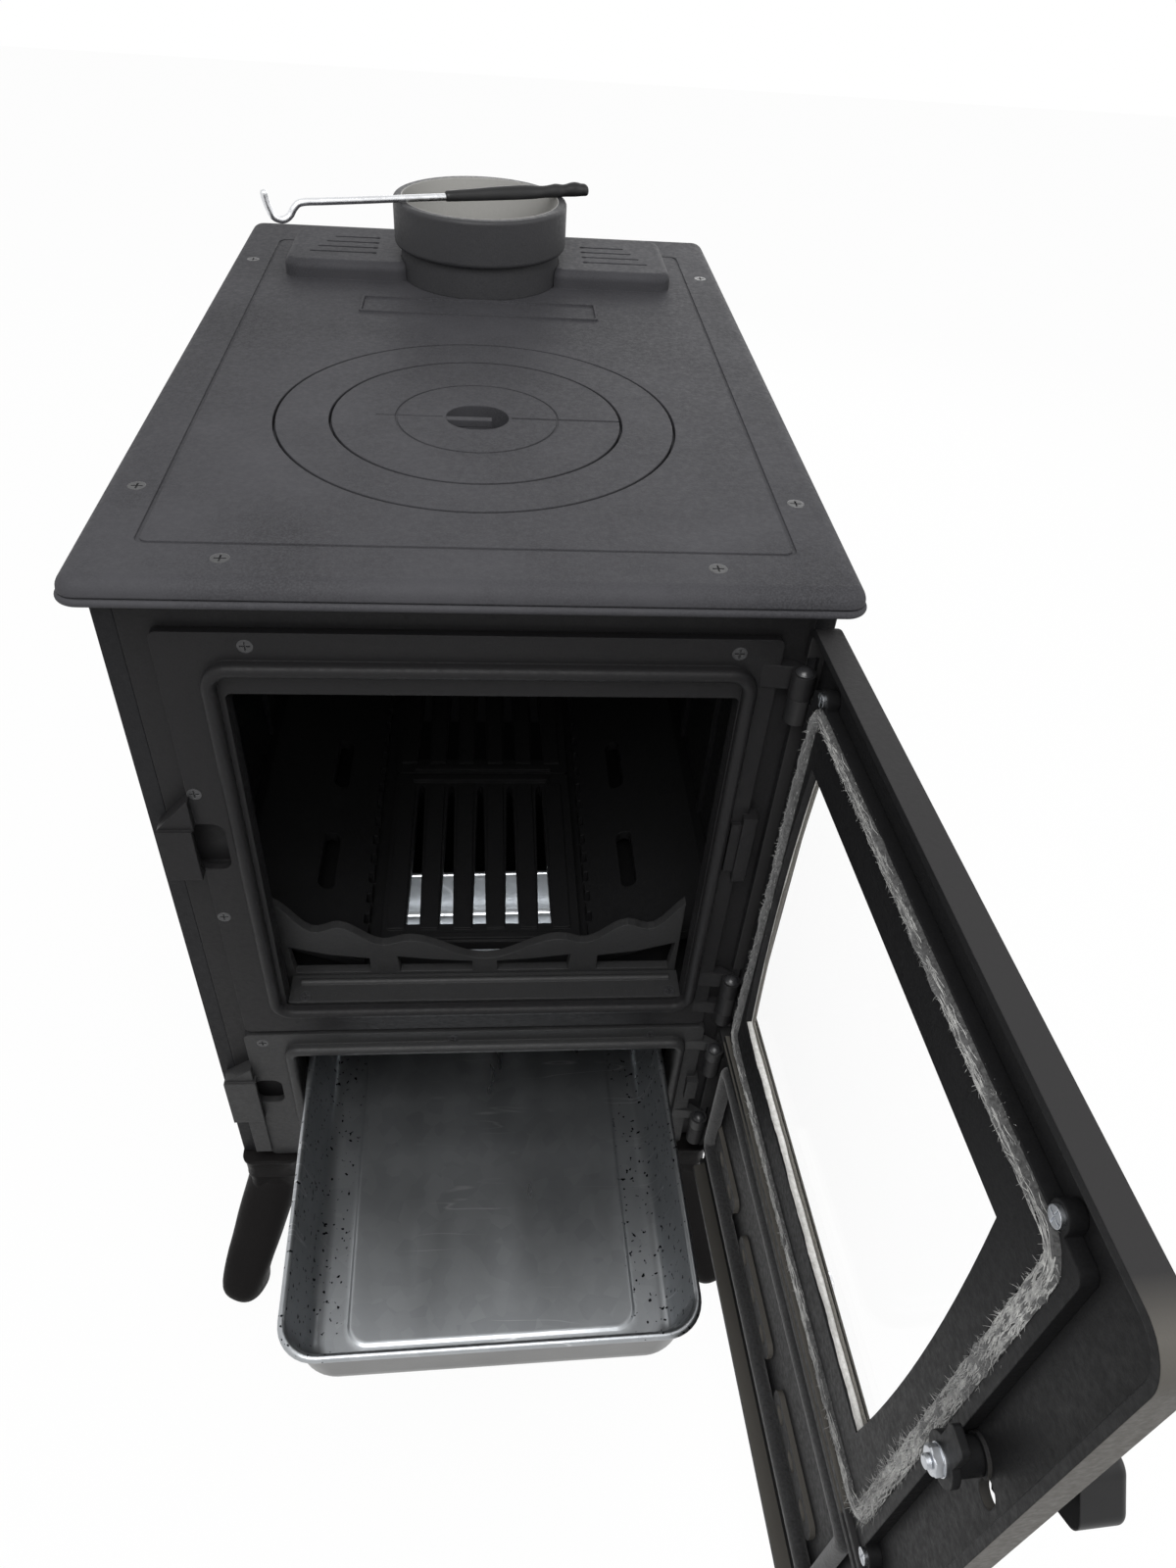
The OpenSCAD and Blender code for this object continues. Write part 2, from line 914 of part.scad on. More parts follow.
module grate_rear() {
  color(iron_dark)
  placed()
  grate(280, 490);
}

// Top edge of the log guard: distance from its middle and height.
wave_points = [[0, 392], [61, 415], [80, 410], [115, 431.5], [132, 426], [165, 460]];

function ease(a, b, t) = a + (b - a) * (1 - cos(180 * t)) / 2;

function wave(x, i = 0) =
  i >= len(wave_points) - 2 || x <= wave_points[i + 1][0]
  ? ease(wave_points[i][1], wave_points[i + 1][1],
      (x - wave_points[i][0]) / (wave_points[i + 1][0] - wave_points[i][0]))
  : wave(x, i + 1);

module log_guard() {
  color(iron_dark)
  placed()
  difference() {
    upright(24.3, 32)
      polygon(concat([[-163, 358]],
        [for (i = [-30 : 30]) [163 * i / 30, wave(abs(163 * i / 30 - guard_x))]],
        [[163, 358]]));
    translate([guard_x, 0, 0])
      both_sides() {
        upright(20, 40)
          polygon([[10, 377], [68, 377], [70, 396], [40, 391.5], [10, 389]]);
        upright(20, 40)
          polygon([[92, 377], [152, 377], [155, 409], [124, 399], [92, 394]]);
      }
  }
}

// ---------- legs ----------

leg_dir = atan2(-72, -34);
leg_top = body_z - leg_cap + 8;

function leg_mid(z) = leg_reach * pow(sin(90 * min(1, max(0, (leg_top - z) / (leg_top - 8)))), 2)
  + 8 * sin(180 * min(1, max(0, (leg_top - z) / 62)));

// Half thickness of the leg in its own plane, and half width across it.
function leg_half(z) = 18
  + 8 * pow(max(0, (z - 40) / (leg_top - 40)), 1.2)
  + 5 * exp(-pow((z - 12) / 11, 2))
  - 6 * pow(max(0, (6 - z) / 6), 2);

function leg_broad(z) = 20.5
  + 4 * sin(90 * min(1, max(0, (z - 12) / 75)))
  - 5 * pow(max(0, (8 - z) / 8), 2);

// The leg in its own plane: u outwards along the leg, z up.
module leg_side() {
  steps = 30;
  polygon(concat(
    [for (i = [0 : steps]) let (z = leg_top * i / steps) [leg_mid(z) + leg_half(z), z]],
    [for (i = [steps : -1 : 0]) let (z = leg_top * i / steps) [leg_mid(z) - leg_half(z), z]]));
}

module leg_front() {
  steps = 30;
  polygon(concat(
    [for (i = [0 : steps]) let (z = leg_top * i / steps) [leg_broad(z), z]],
    [for (i = [steps : -1 : 0]) let (z = leg_top * i / steps) [-leg_broad(z), z]]));
}

// Front leg on the left, cap first.
module leg() {
  difference() {
    union() {
      flat(body_z - 5, body_z)
        limits(-half_w - 1, -half_w + 52, -13.5, 45, 9);
      flat(body_z - leg_cap, body_z - 4)
        limits(-half_w + 0.5, -half_w + 50.5, -12, 44, 8);
      translate([25.5 - half_w, 15.5, 0])
        rotate([0, 0, leg_dir])
          intersection() {
            translate([0, 50, 0])
              rotate([90, 0, 0])
                linear_extrude(height = 100)
                  leg_side();
            translate([-60, 0, 0])
              rotate([90, 0, 90])
                linear_extrude(height = 220)
                  leg_front();
            // the toe is round in plan
            union() {
              translate([leg_reach + 23 - toe_r, 0, 0])
                cylinder(r = toe_r, h = 140);
              block(-60, leg_reach + 23 - toe_r, -40, 40, 0, 140);
            }
          }
    }
    pin_z(-bolt_x, 26, 4, body_z - 16, body_z + eps);
  }
}

module leg_front_left() {
  color(iron)
  placed()
  leg();
}

module leg_front_right() {
  color(iron)
  placed()
  mirror([1, 0, 0])
  leg();
}

module leg_rear_left() {
  color(iron)
  placed()
  translate([0, body_d, 0])
  mirror([0, 1, 0])
  leg();
}

module leg_rear_right() {
  color(iron)
  placed()
  translate([0, body_d, 0])
  mirror([0, 1, 0])
  mirror([1, 0, 0])
  leg();
}

module leg_bolts() {
  color(zinc)
  placed()
  for (x = [-bolt_x, bolt_x])
    for (y = [26, body_d - 26]) {
      pin_z(x, y, 4, body_z - 15, body_z + 9);
      translate([x, y, body_z + 9])
        cylinder(r = 7.5, h = 5, $fn = 6);
    }
}

// ---------- hinge pins ----------

module hinge_pin(z0, z1) {
  pin_z(axis_x, axis_y, pin_r, z0, z1 + eps);
  translate([axis_x, axis_y, z1])
    intersection() {
      translate([0, 0, -3])
        sphere(r = 6.5);
      cylinder(r = 7, h = 7);
    }
}

module fire_hinge_pins() {
  color(zinc)
  placed() {
    hinge_pin(672, 708);
    hinge_pin(354, 408);
  }
}

module ash_hinge_pins() {
  color(zinc)
  placed() {
    hinge_pin(282, 315);
    hinge_pin(172, 208);
  }
}

// ---------- ash pan rails ----------

module pan_rail(x_in) {
  z = pan_z - 0.3;
  block(x_in, inner_w, 20.3, body_d - 26, z - 5, z);
  block(x_in, x_in + 5, 20.3, body_d - 26, z - 12, z);
  block(inner_w - 5, inner_w, 20.3, body_d - 26, z - 20, z);
}

module pan_rail_left() {
  color(iron_dark)
  placed()
  mirror([1, 0, 0])
  pan_rail(122);
}

module pan_rail_right() {
  color(iron_dark)
  placed()
  pan_rail(138);
}

// ---------- fire door ----------

// Rounded door outline: big corners on the free edge, small ones on the hinge side.
module door_outline(z0, z1, inset, r, rh) {
  x0 = door_x0 + inset;
  x1 = door_x1 - inset;
  a = z0 + inset;
  b = z1 - inset;
  translate([x0 + r, a])
    square([x1 - rh - x0 - r, b - a]);
  translate([x0, a + r])
    square([r + 1, b - a - 2 * r]);
  translate([x1 - rh - 1, a + rh])
    square([rh + 1, b - a - 2 * rh]);
  for (z = [a + r, b - r])
    translate([x0 + r, z])
      circle(r = r);
  for (z = [a + rh, b - rh])
    translate([x1 - rh, z])
      circle(r = rh);
}

module door_box(z0, z1) {
  difference() {
    upright(door_face, rim_y)
      door_outline(z0, z1, 0, 20, 9);
    upright(door_inner, rim_y + eps)
      door_outline(z0, z1, door_t, 15, 4);
    // hinge-side outer edge rounded so the door clears the body when wide open
    difference() {
      block(door_x1 - 10, door_x1 + eps, door_face - eps, door_face + 10, z0 - eps, z1 + eps);
      pin_z(door_x1 - 10, door_face + 10, 10, z0 - 2, z1 + 2);
    }
  }
}

// Knuckle on the hinge axis with its web into the rim.
module knuckle(z0, z1) {
  difference() {
    union() {
      pin_z(axis_x, axis_y, knuckle_r, z0, z1);
      block(axis_x - 4, axis_x + 7, door_inner - eps, axis_y - 2, z0, z1);
    }
  }
}

module pin_holes(z0, z1) {
  pin_z(axis_x, axis_y, pin_r + run_fit, z0, z1);
}

// Room in the rim for a frame ear.
module ear_notch(z0, z1) {
  block(axis_x - 12, door_x1 + eps, axis_y - 9, axis_y + 20, z0, z1);
}

module latch_boss(z) {
  pin_y(latch_x, z, hub_r + 1.5, door_inner - eps, door_inner + 2);
}

module bowed(s0, s1, z0, z1, bow) {
  intersection() {
    translate([axis_x - s1 - bow, z0])
      square([s1 - s0 + 2 * bow, z1 - z0]);
    translate([axis_x - s1 - bow + bow_r(z1 - z0, bow), (z0 + z1) / 2])
      circle(r = bow_r(z1 - z0, bow));
    translate([axis_x - s0 + bow - bow_r(z1 - z0, bow), (z0 + z1) / 2])
      circle(r = bow_r(z1 - z0, bow));
  }
}

function bow_r(h, b) = (h * h / 4 + b * b) / (2 * b);

module fire_door_shell() {
  color(iron)
  placed()
  swung()
  difference() {
    union() {
      door_box(fire_z0, fire_z1);
      knuckle(672, 690.7);
      knuckle(370, 391.7);
      latch_boss(fire_latch_z);
    }
    ear_notch(691, 716);
    ear_notch(392, 416);
    ear_notch(fire_z0 - 1, 370);
    pin_holes(660, 700);
    pin_holes(365, 400);
    // window: bevelled outside, rebated inside for the glass
    upright(door_face - eps, door_inner + eps)
      limits(axis_x - 328, axis_x - 25, 397, 666, 4);
    window_bevel(axis_x - 328, axis_x - 25, 397, 666, 2);
    upright(door_inner - 3.2, door_inner + eps)
      limits(axis_x - 336.3, axis_x - 20.7, 387.7, 674.3, 2);
    pin_y(latch_x, fire_latch_z, shaft_r + run_fit, door_face - eps, rim_y);
    // sight hole beside the latch
    upright(door_face - eps, door_inner + 3)
      limits(-196, -184, 529, 545, 5.5);
  }
}

module window_bevel(x0, x1, z0, z1, b) {
  difference() {
    front_loop(x0 - b, x1 + b, z0 - b, z1 + b, b + 4, door_face + 4.2)
      polygon([[-b - 2, 0], [-b, 0], [0, 4.2], [0, 6], [-b - 2, 6]]);
    block(-400, 400, door_face + 4.2, 0, 0, top_z);
  }
}

glass_screw_spots = [[28, 708], [345, 708], [372, 357]];

module glass_frame() {
  color(iron_dark)
  placed()
  swung()
  difference() {
    upright(door_inner, door_inner + 8)
      union() {
        limits(axis_x - 368, axis_x - 8, 352, rope_top + 7, 6);
        for (p = glass_screw_spots)
          translate([axis_x - p[0], p[1]])
            circle(r = 6.5);
        for (p = [glass_screw_spots[0], glass_screw_spots[1]])
          translate([axis_x - p[0] - 6.5, rope_top + 6])
            square([13, p[1] - rope_top - 6]);
      }
    upright(-60, 0)
      bowed(36, 322, 400, 661, 7);
    // room for the white gasket
    upright(door_inner - eps, door_inner + 3)
      limits(axis_x - 334, axis_x - 28.5, 391, 670, 3);
    // channel the rope sits in
    front_loop(axis_x - 355, axis_x - 22, 363, rope_top, 14, axis_y - 6)
      translate([-rope_r, -4])
        square([2 * rope_r, 8]);
    // clear of the hinge ears and the latch
    ear_notch(690, 716);
    ear_notch(391, 416);
    ear_notch(345, 371);
    pin_y(latch_x, fire_latch_z, hub_r + 2.2, door_inner - eps, 0);
    for (p = glass_screw_spots)
      pin_y(axis_x - p[0], p[1], 2.5, door_inner - eps, 0);
  }
}

module door_glass() {
  color([0.35, 0.38, 0.38, 0.35])
  placed()
  swung()
  upright(door_inner - 3.2, door_inner - 0.2)
    limits(axis_x - 336, axis_x - 21, 388, 674, 2);
}

module glass_gasket() {
  color([0.88, 0.88, 0.86])
  placed()
  swung()
  difference() {
    upright(door_inner - 0.2, door_inner + 3)
      limits(axis_x - 333.7, axis_x - 28.8, 391.3, 669.7, 3);
    upright(-60, 0)
      limits(axis_x - 326, axis_x - 32, 401, 660, 8);
  }
}

module rope_profile() {
  intersection() {
    circle(r = rope_r);
    translate([-rope_r, -4])
      square([2 * rope_r, 4 + rope_r]);
  }
}

module fire_door_rope() {
  color([0.62, 0.61, 0.58])
  placed()
  swung()
  front_loop(axis_x - 355, axis_x - 22, 363, rope_top, 14, axis_y - rope_r)
    mirror([0, 1])
      rope_profile();
}

module fire_door_screws() {
  color(zinc)
  placed()
  swung()
  for (p = glass_screw_spots)
    translate([axis_x - p[0], door_inner + 8, p[1]])
      rotate([90, 0, 0]) {
        translate([0, 0, -2.2])
          difference() {
            cylinder(r = 4.6, h = 2.2);
            translate([-4, -0.5, -eps])
              cube([8, 1, eps + 0.9]);
            translate([-0.5, -4, -eps])
              cube([1, 8, eps + 0.9]);
          }
        translate([0, 0, -1])
          cylinder(r = 2.5, h = 8.8);
      }
}

// ---------- latches ----------

// Shaft with its boss and lever, drawn shut at a height.
module latch_lever(z) {
  pin_y(latch_x, z, 10, door_face - 7, door_face - slip);
  pin_y(latch_x, z, shaft_r, door_face - slip - eps, door_inner + 2 - 0.2);
  pin_y(latch_x, z, 4, door_inner, -6.6);
  pin_y(latch_x, z, 3, -8, 1);
  translate([latch_x, 0, z])
    rotate([0, lever_turn, 0]) {
      block(-6, 6, door_face - 12, door_face - 3, -3, lever_r + 5);
      block(-6, 6, door_face - 38, door_face - 11, lever_r - 5, lever_r + 5);
    }
}

lever_turn = 218;
lever_r = 17;

module latch_grip(z) {
  translate([latch_x, 0, z])
    rotate([0, lever_turn, 0])
      difference() {
        translate([0, door_face - 34, lever_r])
          rotate([90, 0, 0])
            soft_slab(30, 35, 24, 9, 4);
        block(-6.2, 6.2, door_face - 38.2, door_face, lever_r - 5.2, lever_r + 5.2);
      }
}

// Cam: a hub on the shaft and the tongue that turns behind the keeper.
module latch_cam(z) {
  difference() {
    union() {
      pin_y(latch_x, z, hub_r, door_inner + 2 + slip, -6.5);
      pin_y(latch_x, z, hub_r + 3.5, -10.5, -6.5);
      upright(-10.5, -6.5)
        limits(latch_x - 7, latch_x + 7, z - 8, z + tongue_l, 3);
    }
    pin_y(latch_x, z, 4, -60, 10);
  }
}

module latch_nut(z) {
  difference() {
    union() {
      translate([latch_x, -1, z])
        rotate([90, 0, 0])
          cylinder(r = 7.2, h = 4, $fn = 6);
      pin_y(latch_x, z, 7.4, -6.5, -5);
    }
    pin_y(latch_x, z, 3, -60, 10);
    pin_y(latch_x, z, 4, -10, -6.5);
  }
}

module fire_handle() {
  color(iron_dark)
  placed()
  swung()
  latch_lever(fire_latch_z);
}

module fire_handle_grip() {
  color([0.06, 0.06, 0.06])
  placed()
  swung()
  latch_grip(fire_latch_z);
}

module fire_cam() {
  color(iron_dark)
  placed()
  swung()
  latch_cam(fire_latch_z);
}

module fire_latch_nut() {
  color(zinc)
  placed()
  swung()
  latch_nut(fire_latch_z);
}

module ash_handle() {
  color(iron_dark)
  placed()
  swung()
  latch_lever(ash_latch_z);
}

module ash_handle_grip() {
  color([0.06, 0.06, 0.06])
  placed()
  swung()
  latch_grip(ash_latch_z);
}

module ash_cam() {
  color(iron_dark)
  placed()
  swung()
  latch_cam(ash_latch_z);
}

module ash_latch_nut() {
  color(zinc)
  placed()
  swung()
  latch_nut(ash_latch_z);
}

// ---------- ash door ----------

vent_s = [53, 169, 286];
vent_z = 225;

module ash_door_shell() {
  color(iron)
  placed()
  swung()
  difference() {
    union() {
      door_box(138, 340);
      knuckle(282, 303.7);
      knuckle(172, 195.7);
      latch_boss(ash_latch_z);
      // raised rims round the air inlets
      for (s = vent_s)
        upright(door_inner - eps, door_inner + 4)
          limits(axis_x - s - 47, axis_x - s + 46, vent_z - 10, vent_z + 10, 8);
      // guides the air slide runs in
      for (z = [vent_z - 17, vent_z + 13.1])
        block(-150, 174, door_face - 6.4, door_face + eps, z, z + 3.9);
      block(-150, 174, door_face - 6.4, door_face - 3.2, vent_z - 17, vent_z - 10);
      block(-150, 174, door_face - 6.4, door_face - 3.2, vent_z + 10, vent_z + 17);
    }
    for (s = vent_s)
      for (k = [-1, 0, 1])
        upright(door_face - eps, 0)
          limits(axis_x - s + 30 * k - 7, axis_x - s + 30 * k + 7, vent_z - 5, vent_z + 5, 4.9);
    ear_notch(304, 323);
    ear_notch(196, 216);
    pin_holes(278, 308);
    pin_holes(165, 200);
    pin_y(latch_x, ash_latch_z, shaft_r + run_fit, door_face - eps, rim_y);
    // pin tip room under the lower knuckle
    ear_notch(137, 171);
    // corner cut away over the leg's cap
    block(axis_x - 6, door_x1 + eps, door_face - eps, axis_y + 20, 137, body_z + 1.5);
    // the rope crosses the rims of the air inlets
    front_loop(axis_x - 355, axis_x - 24, 201, 318, 8, axis_y - rope_r)
      circle(r = rope_r);
  }
}

module ash_door_rope() {
  color([0.07, 0.07, 0.07])
  placed()
  swung()
  difference() {
    front_loop(axis_x - 355, axis_x - 24, 201, 318, 8, axis_y - rope_r)
      rope_profile_ash();
    ear_notch(100, 160);
  }
}

module rope_profile_ash() {
  circle(r = rope_r - 0.3);
}

module air_slide() {
  color(iron_dark)
  placed()
  swung()
  difference() {
    union() {
      upright(door_face - 3, door_face - 0.1)
        limits(-150, 150, vent_z - 12.9, vent_z + 12.9, 3);
      upright(door_face - 10, door_face - 6.6)
        limits(axis_x - 198, axis_x - 182, vent_z - 9, 291, 4);
      block(axis_x - 198, axis_x - 182, door_face - 9, door_face - 1, vent_z - 9, vent_z + 9);
    }
    for (s = vent_s)
      for (k = [-1, 0, 1])
        upright(door_face - 30, 0)
          limits(axis_x - s + 30 * k - 7, axis_x - s + 30 * k + 7, vent_z - 5, vent_z + 5, 4.9);
    pin_y(axis_x - 190, 283, 2.5, door_face - 30, 0);
  }
}

module air_knob() {
  color([0.85, 0.86, 0.88])
  placed()
  swung()
  translate([axis_x - 190, door_face - 6.7, 283])
    rotate([90, 0, 0]) {
      cylinder(r = 2.5, h = 20);
      translate([0, 0, 3.3])
        cylinder(r = 5, h = 12);
      translate([0, 0, 15])
        cylinder(r1 = 5, r2 = 10, h = 10);
      translate([0, 0, 25])
        cylinder(r = 10, h = 4);
      intersection() {
        translate([0, 0, 29 - 13])
          sphere(r = 16.4);
        translate([0, 0, 29])
          cylinder(r = 10, h = 8);
      }
    }
}

// ---------- ash pan ----------

module ash_pan() {
  color(galvanised)
  placed()
  translate([pan_x, pan_l / 2 - pan_out, pan_z])
  union() {
    loop(pan_w - 6, pan_l - 6, pan_r - 3)
      polygon([[-6.1, 0], [-4.8, 0], [0.1, pan_h - 3], [-1.2, pan_h - 3]]);
    linear_extrude(height = 1.2)
      limits(8.5 - pan_w / 2, pan_w / 2 - 8.5, 8.5 - pan_l / 2, pan_l / 2 - 8.5, pan_r - 8.5);
    translate([0, 0, pan_h - 3])
      loop(pan_w - 6, pan_l - 6, pan_r - 3)
        circle(r = 3);
    // shallow rectangle pressed up in the floor
    linear_extrude(height = 2)
      limits(48 - pan_w / 2, pan_w / 2 - 48, 48 - pan_l / 2, pan_l / 2 - 48, 10);
  }
}

top_plate();
flue_collar();
collar_bolts();
top_screws();
front_plate();
fire_frame();
fire_frame_screws();
sill_plate();
sill_screws();
ash_frame();
ash_frame_screws();
side_panel_left();
side_panel_right();
back_panel();
base_plate();
side_liner_left();
side_liner_right();
back_liner();
cheek_left();
cheek_right();
hearth_plate();
grate_front();
grate_rear();
log_guard();
leg_front_left();
leg_front_right();
leg_rear_left();
leg_rear_right();
leg_bolts();
fire_hinge_pins();
ash_hinge_pins();
pan_rail_left();
pan_rail_right();
hob_ring();
hob_lid();
tool_rod();
tool_grip();
fire_door_shell();
glass_frame();
door_glass();
glass_gasket();
fire_door_rope();
fire_door_screws();
fire_handle();
fire_handle_grip();
fire_cam();
fire_latch_nut();
ash_door_shell();
ash_door_rope();
air_slide();
air_knob();
ash_handle();
ash_handle_grip();
ash_cam();
ash_latch_nut();
ash_pan();
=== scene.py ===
"""Looks of the cast iron cooker stove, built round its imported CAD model.

The row frame is in metres, with its origin at the flue's mouth. Stove coordinates are in mm: x from the
middle, y back from the front plate's face, z up from the floor.
"""
import json
import math
import random

import bmesh
import bpy
from mathutils import Matrix, Vector


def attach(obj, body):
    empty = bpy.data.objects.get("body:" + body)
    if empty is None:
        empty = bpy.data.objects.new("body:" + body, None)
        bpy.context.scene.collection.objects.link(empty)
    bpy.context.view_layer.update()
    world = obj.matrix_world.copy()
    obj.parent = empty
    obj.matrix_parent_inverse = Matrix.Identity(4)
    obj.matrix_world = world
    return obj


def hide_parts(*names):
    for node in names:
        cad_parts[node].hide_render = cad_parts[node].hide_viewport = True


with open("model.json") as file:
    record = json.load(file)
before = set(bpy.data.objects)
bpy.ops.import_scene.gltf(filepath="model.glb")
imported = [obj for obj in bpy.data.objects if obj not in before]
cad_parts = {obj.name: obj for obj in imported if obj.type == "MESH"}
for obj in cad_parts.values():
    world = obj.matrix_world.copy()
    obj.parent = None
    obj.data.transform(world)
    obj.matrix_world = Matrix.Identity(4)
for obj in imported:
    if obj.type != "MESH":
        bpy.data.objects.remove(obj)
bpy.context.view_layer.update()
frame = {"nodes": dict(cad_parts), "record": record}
NODES = frame["nodes"]

# ---------- places ----------
FLUE_Y = 514.0
FLUE_Z = 834.0
# the doors' hinge axis in plan, and how far both doors stand open at rest
HINGE_X, HINGE_Y = 200.0, -14.0
OPEN = math.radians(93)
# directions of the open doors, in the row frame: out of their inner face, and from the hinge outwards
DOOR_OUT = (math.sin(OPEN), -math.cos(OPEN), 0.0)
DOOR_ACROSS = (-math.cos(OPEN), -math.sin(OPEN), 0.0)
PAN_X, PAN_Y = 8.0, -11.0
UP = Vector((0, 0, 1))


def place(x, y, z):
    """A point in stove coordinates, in the row frame."""
    return Vector((x, y - FLUE_Y, z - FLUE_Z)) / 1000


def height(z):
    """A height above the floor in mm, in the row frame."""
    return (z - FLUE_Z) / 1000


def swing(x, y, z):
    """A point of a shut door, at the open pose the model rests in."""
    dx, dy = x - HINGE_X, y - HINGE_Y
    return place(HINGE_X + dx * math.cos(OPEN) - dy * math.sin(OPEN),
                 HINGE_Y + dx * math.sin(OPEN) + dy * math.cos(OPEN), z)


def across_door(s):
    """How far along DOOR_ACROSS a place s mm from the hinge axis lies, in the row frame."""
    return Vector(DOOR_ACROSS).dot(place(HINGE_X, HINGE_Y, 0)) + s / 1000


bpy.context.scene.view_settings.view_transform = "Standard"

# ---------- camera, solved from the photograph's straight edges ----------
CAMERA_AT = (0.00907, -1.05358, 0.25366)
CAMERA_RIGHT = Vector((0.99590, -0.06630, 0.06120)).normalized()
CAMERA_DOWN = Vector((0.00140, -0.66740, -0.74470)).normalized()
CAMERA_AHEAD = CAMERA_RIGHT.cross(CAMERA_DOWN).normalized()
SENSOR_MM = 36
LENS_MM = 24.8625

cam_data = bpy.data.cameras.new("camera")
cam = bpy.data.objects.new("camera", cam_data)
bpy.context.scene.collection.objects.link(cam)
cam_data.sensor_fit = "AUTO"
cam_data.sensor_width = SENSOR_MM
cam_data.lens = LENS_MM
cam_data.clip_start = 0.01
camera_axes = (CAMERA_RIGHT, CAMERA_RIGHT.cross(CAMERA_AHEAD), -CAMERA_AHEAD)
cam.matrix_world = Matrix.Translation(CAMERA_AT) @ Matrix(camera_axes).transposed().to_4x4()
bpy.context.scene.camera = cam


# ---------- node trees ----------
class Net:
    """A node tree with short calls for the nodes used here. Values are sockets, numbers or colours."""

    def __init__(self, tree):
        self.tree = tree
        tree.nodes.clear()

    def feed(self, socket, value):
        if isinstance(value, bpy.types.NodeSocket):
            self.tree.links.new(value, socket)
        elif socket.type == "RGBA":
            socket.default_value = (*value, 1)
        else:
            socket.default_value = value

    def made(self, kind, out, inputs, **settings):
        """The output socket of a new node, with its inputs fed."""
        node = self.tree.nodes.new(kind)
        for key, value in settings.items():
            setattr(node, key, value)
        for key, value in inputs.items():
            self.feed(node.inputs[key], value)
        return node.outputs[out]

    def math(self, operation, *values):
        return self.made("ShaderNodeMath", 0, dict(enumerate(values)), operation=operation)

    def times(self, a, b):
        return self.math("MULTIPLY", a, b)

    def dot(self, a, b):
        return self.made("ShaderNodeVectorMath", "Value", {0: a, 1: b}, operation="DOT_PRODUCT")

    def seen(self):
        """1 for the rays that show the background: to the camera, through glass and off a gloss."""
        rays = self.tree.nodes.new("ShaderNodeLightPath").outputs
        straight = self.math("MAXIMUM", rays["Is Camera Ray"], rays["Is Transmission Ray"])
        return self.math("MAXIMUM", straight, rays["Is Glossy Ray"])

    def blend(self, fac, a, b):
        """Two shaders mixed."""
        return self.made("ShaderNodeMixShader", 0, {0: fac, 1: a, 2: b})


# the finished materials, by name
LOOKS = {}


class Look(Net):
    """A material: its tree, its shader and the maps that the looks below are made of."""

    def __init__(self, name, kind="ShaderNodeBsdfPrincipled"):
        self.name = name
        self.mat = bpy.data.materials.new(name)
        self.mat.use_nodes = True
        super().__init__(self.mat.node_tree)
        self.out = self.tree.nodes.new("ShaderNodeOutputMaterial").inputs[0]
        self.shader = self.tree.nodes.new(kind)
        self.feed(self.out, self.shader.outputs[0])
        coord = self.tree.nodes.new("ShaderNodeTexCoord").outputs
        self.at = coord["Object"]
        self.facing = coord["Normal"]

    def axes(self):
        """The place's coordinates, by name."""
        node = self.tree.nodes.new("ShaderNodeSeparateXYZ")
        self.feed(node.inputs[0], self.at)
        return node.outputs

    def noise(self, scale, detail, rough, stretch=None):
        at = self.at
        if stretch:
            at = self.made("ShaderNodeMapping", "Vector", {"Scale": stretch, "Vector": at})
        inputs = {"Scale": scale, "Detail": detail, "Roughness": rough, "Vector": at}
        return self.made("ShaderNodeTexNoise", "Fac", inputs)

    def ramp(self, fac, *stops):
        node = self.tree.nodes.new("ShaderNodeValToRGB")
        elements = node.color_ramp.elements
        while len(elements) < len(stops):
            elements.new(0.5)
        for element, (position, colour) in zip(elements, stops):
            element.position = position
            element.color = (*colour, 1)
        self.feed(node.inputs["Fac"], fac)
        return node.outputs["Color"]

    def span(self, value, low, high, low_in=0.3, high_in=0.7):
        """A value from low to high while the given one goes from low_in to high_in."""
        inputs = {"Value": value, "From Min": low_in, "From Max": high_in, "To Min": low, "To Max": high}
        return self.made("ShaderNodeMapRange", "Result", inputs)

    def bump(self, tall, distance, strength, over=None):
        inputs = {"Distance": distance, "Strength": strength, "Height": tall}
        if over:
            inputs["Normal"] = over
        return self.made("ShaderNodeBump", "Normal", inputs)

    def soft_edge(self, radius):
        return self.made("ShaderNodeBevel", "Normal", {"Radius": radius}, samples=4)

    def mixed(self, fac, a, b):
        return self.made("ShaderNodeMix", 2, {0: fac, 6: a, 7: b}, data_type="RGBA")

    def darkened(self, fac, a, b):
        """Colour a, times colour b as far as fac says."""
        return self.made("ShaderNodeMix", 2, {0: fac, 6: a, 7: b}, data_type="RGBA", blend_type="MULTIPLY")

    def shaded(self, **inputs):
        """Feeds the shader and keeps the material. Underscores stand for spaces."""
        for key, value in inputs.items():
            self.feed(self.shader.inputs[key.replace("_", " ")], value)
        LOOKS[self.name] = self.mat


# ---------- world and lamps ----------
WHITE = (1, 1, 1)
BLACK = (0, 0, 0)
# strength of the world as a light, and where it is seen as the background
WORLD_LIGHT = 0.62
WORLD_SEEN = 1.0

world = bpy.data.worlds.new("world")
bpy.context.scene.world = world
world.use_nodes = True
sky = Net(world.node_tree)
sky_out = sky.tree.nodes.new("ShaderNodeOutputWorld").inputs[0]
sky_light, sky_seen = (sky.made("ShaderNodeBackground", 0, {"Color": WHITE, "Strength": strength})
                       for strength in (WORLD_LIGHT, WORLD_SEEN))
sky.feed(sky_out, sky.blend(sky.seen(), sky_light, sky_seen))


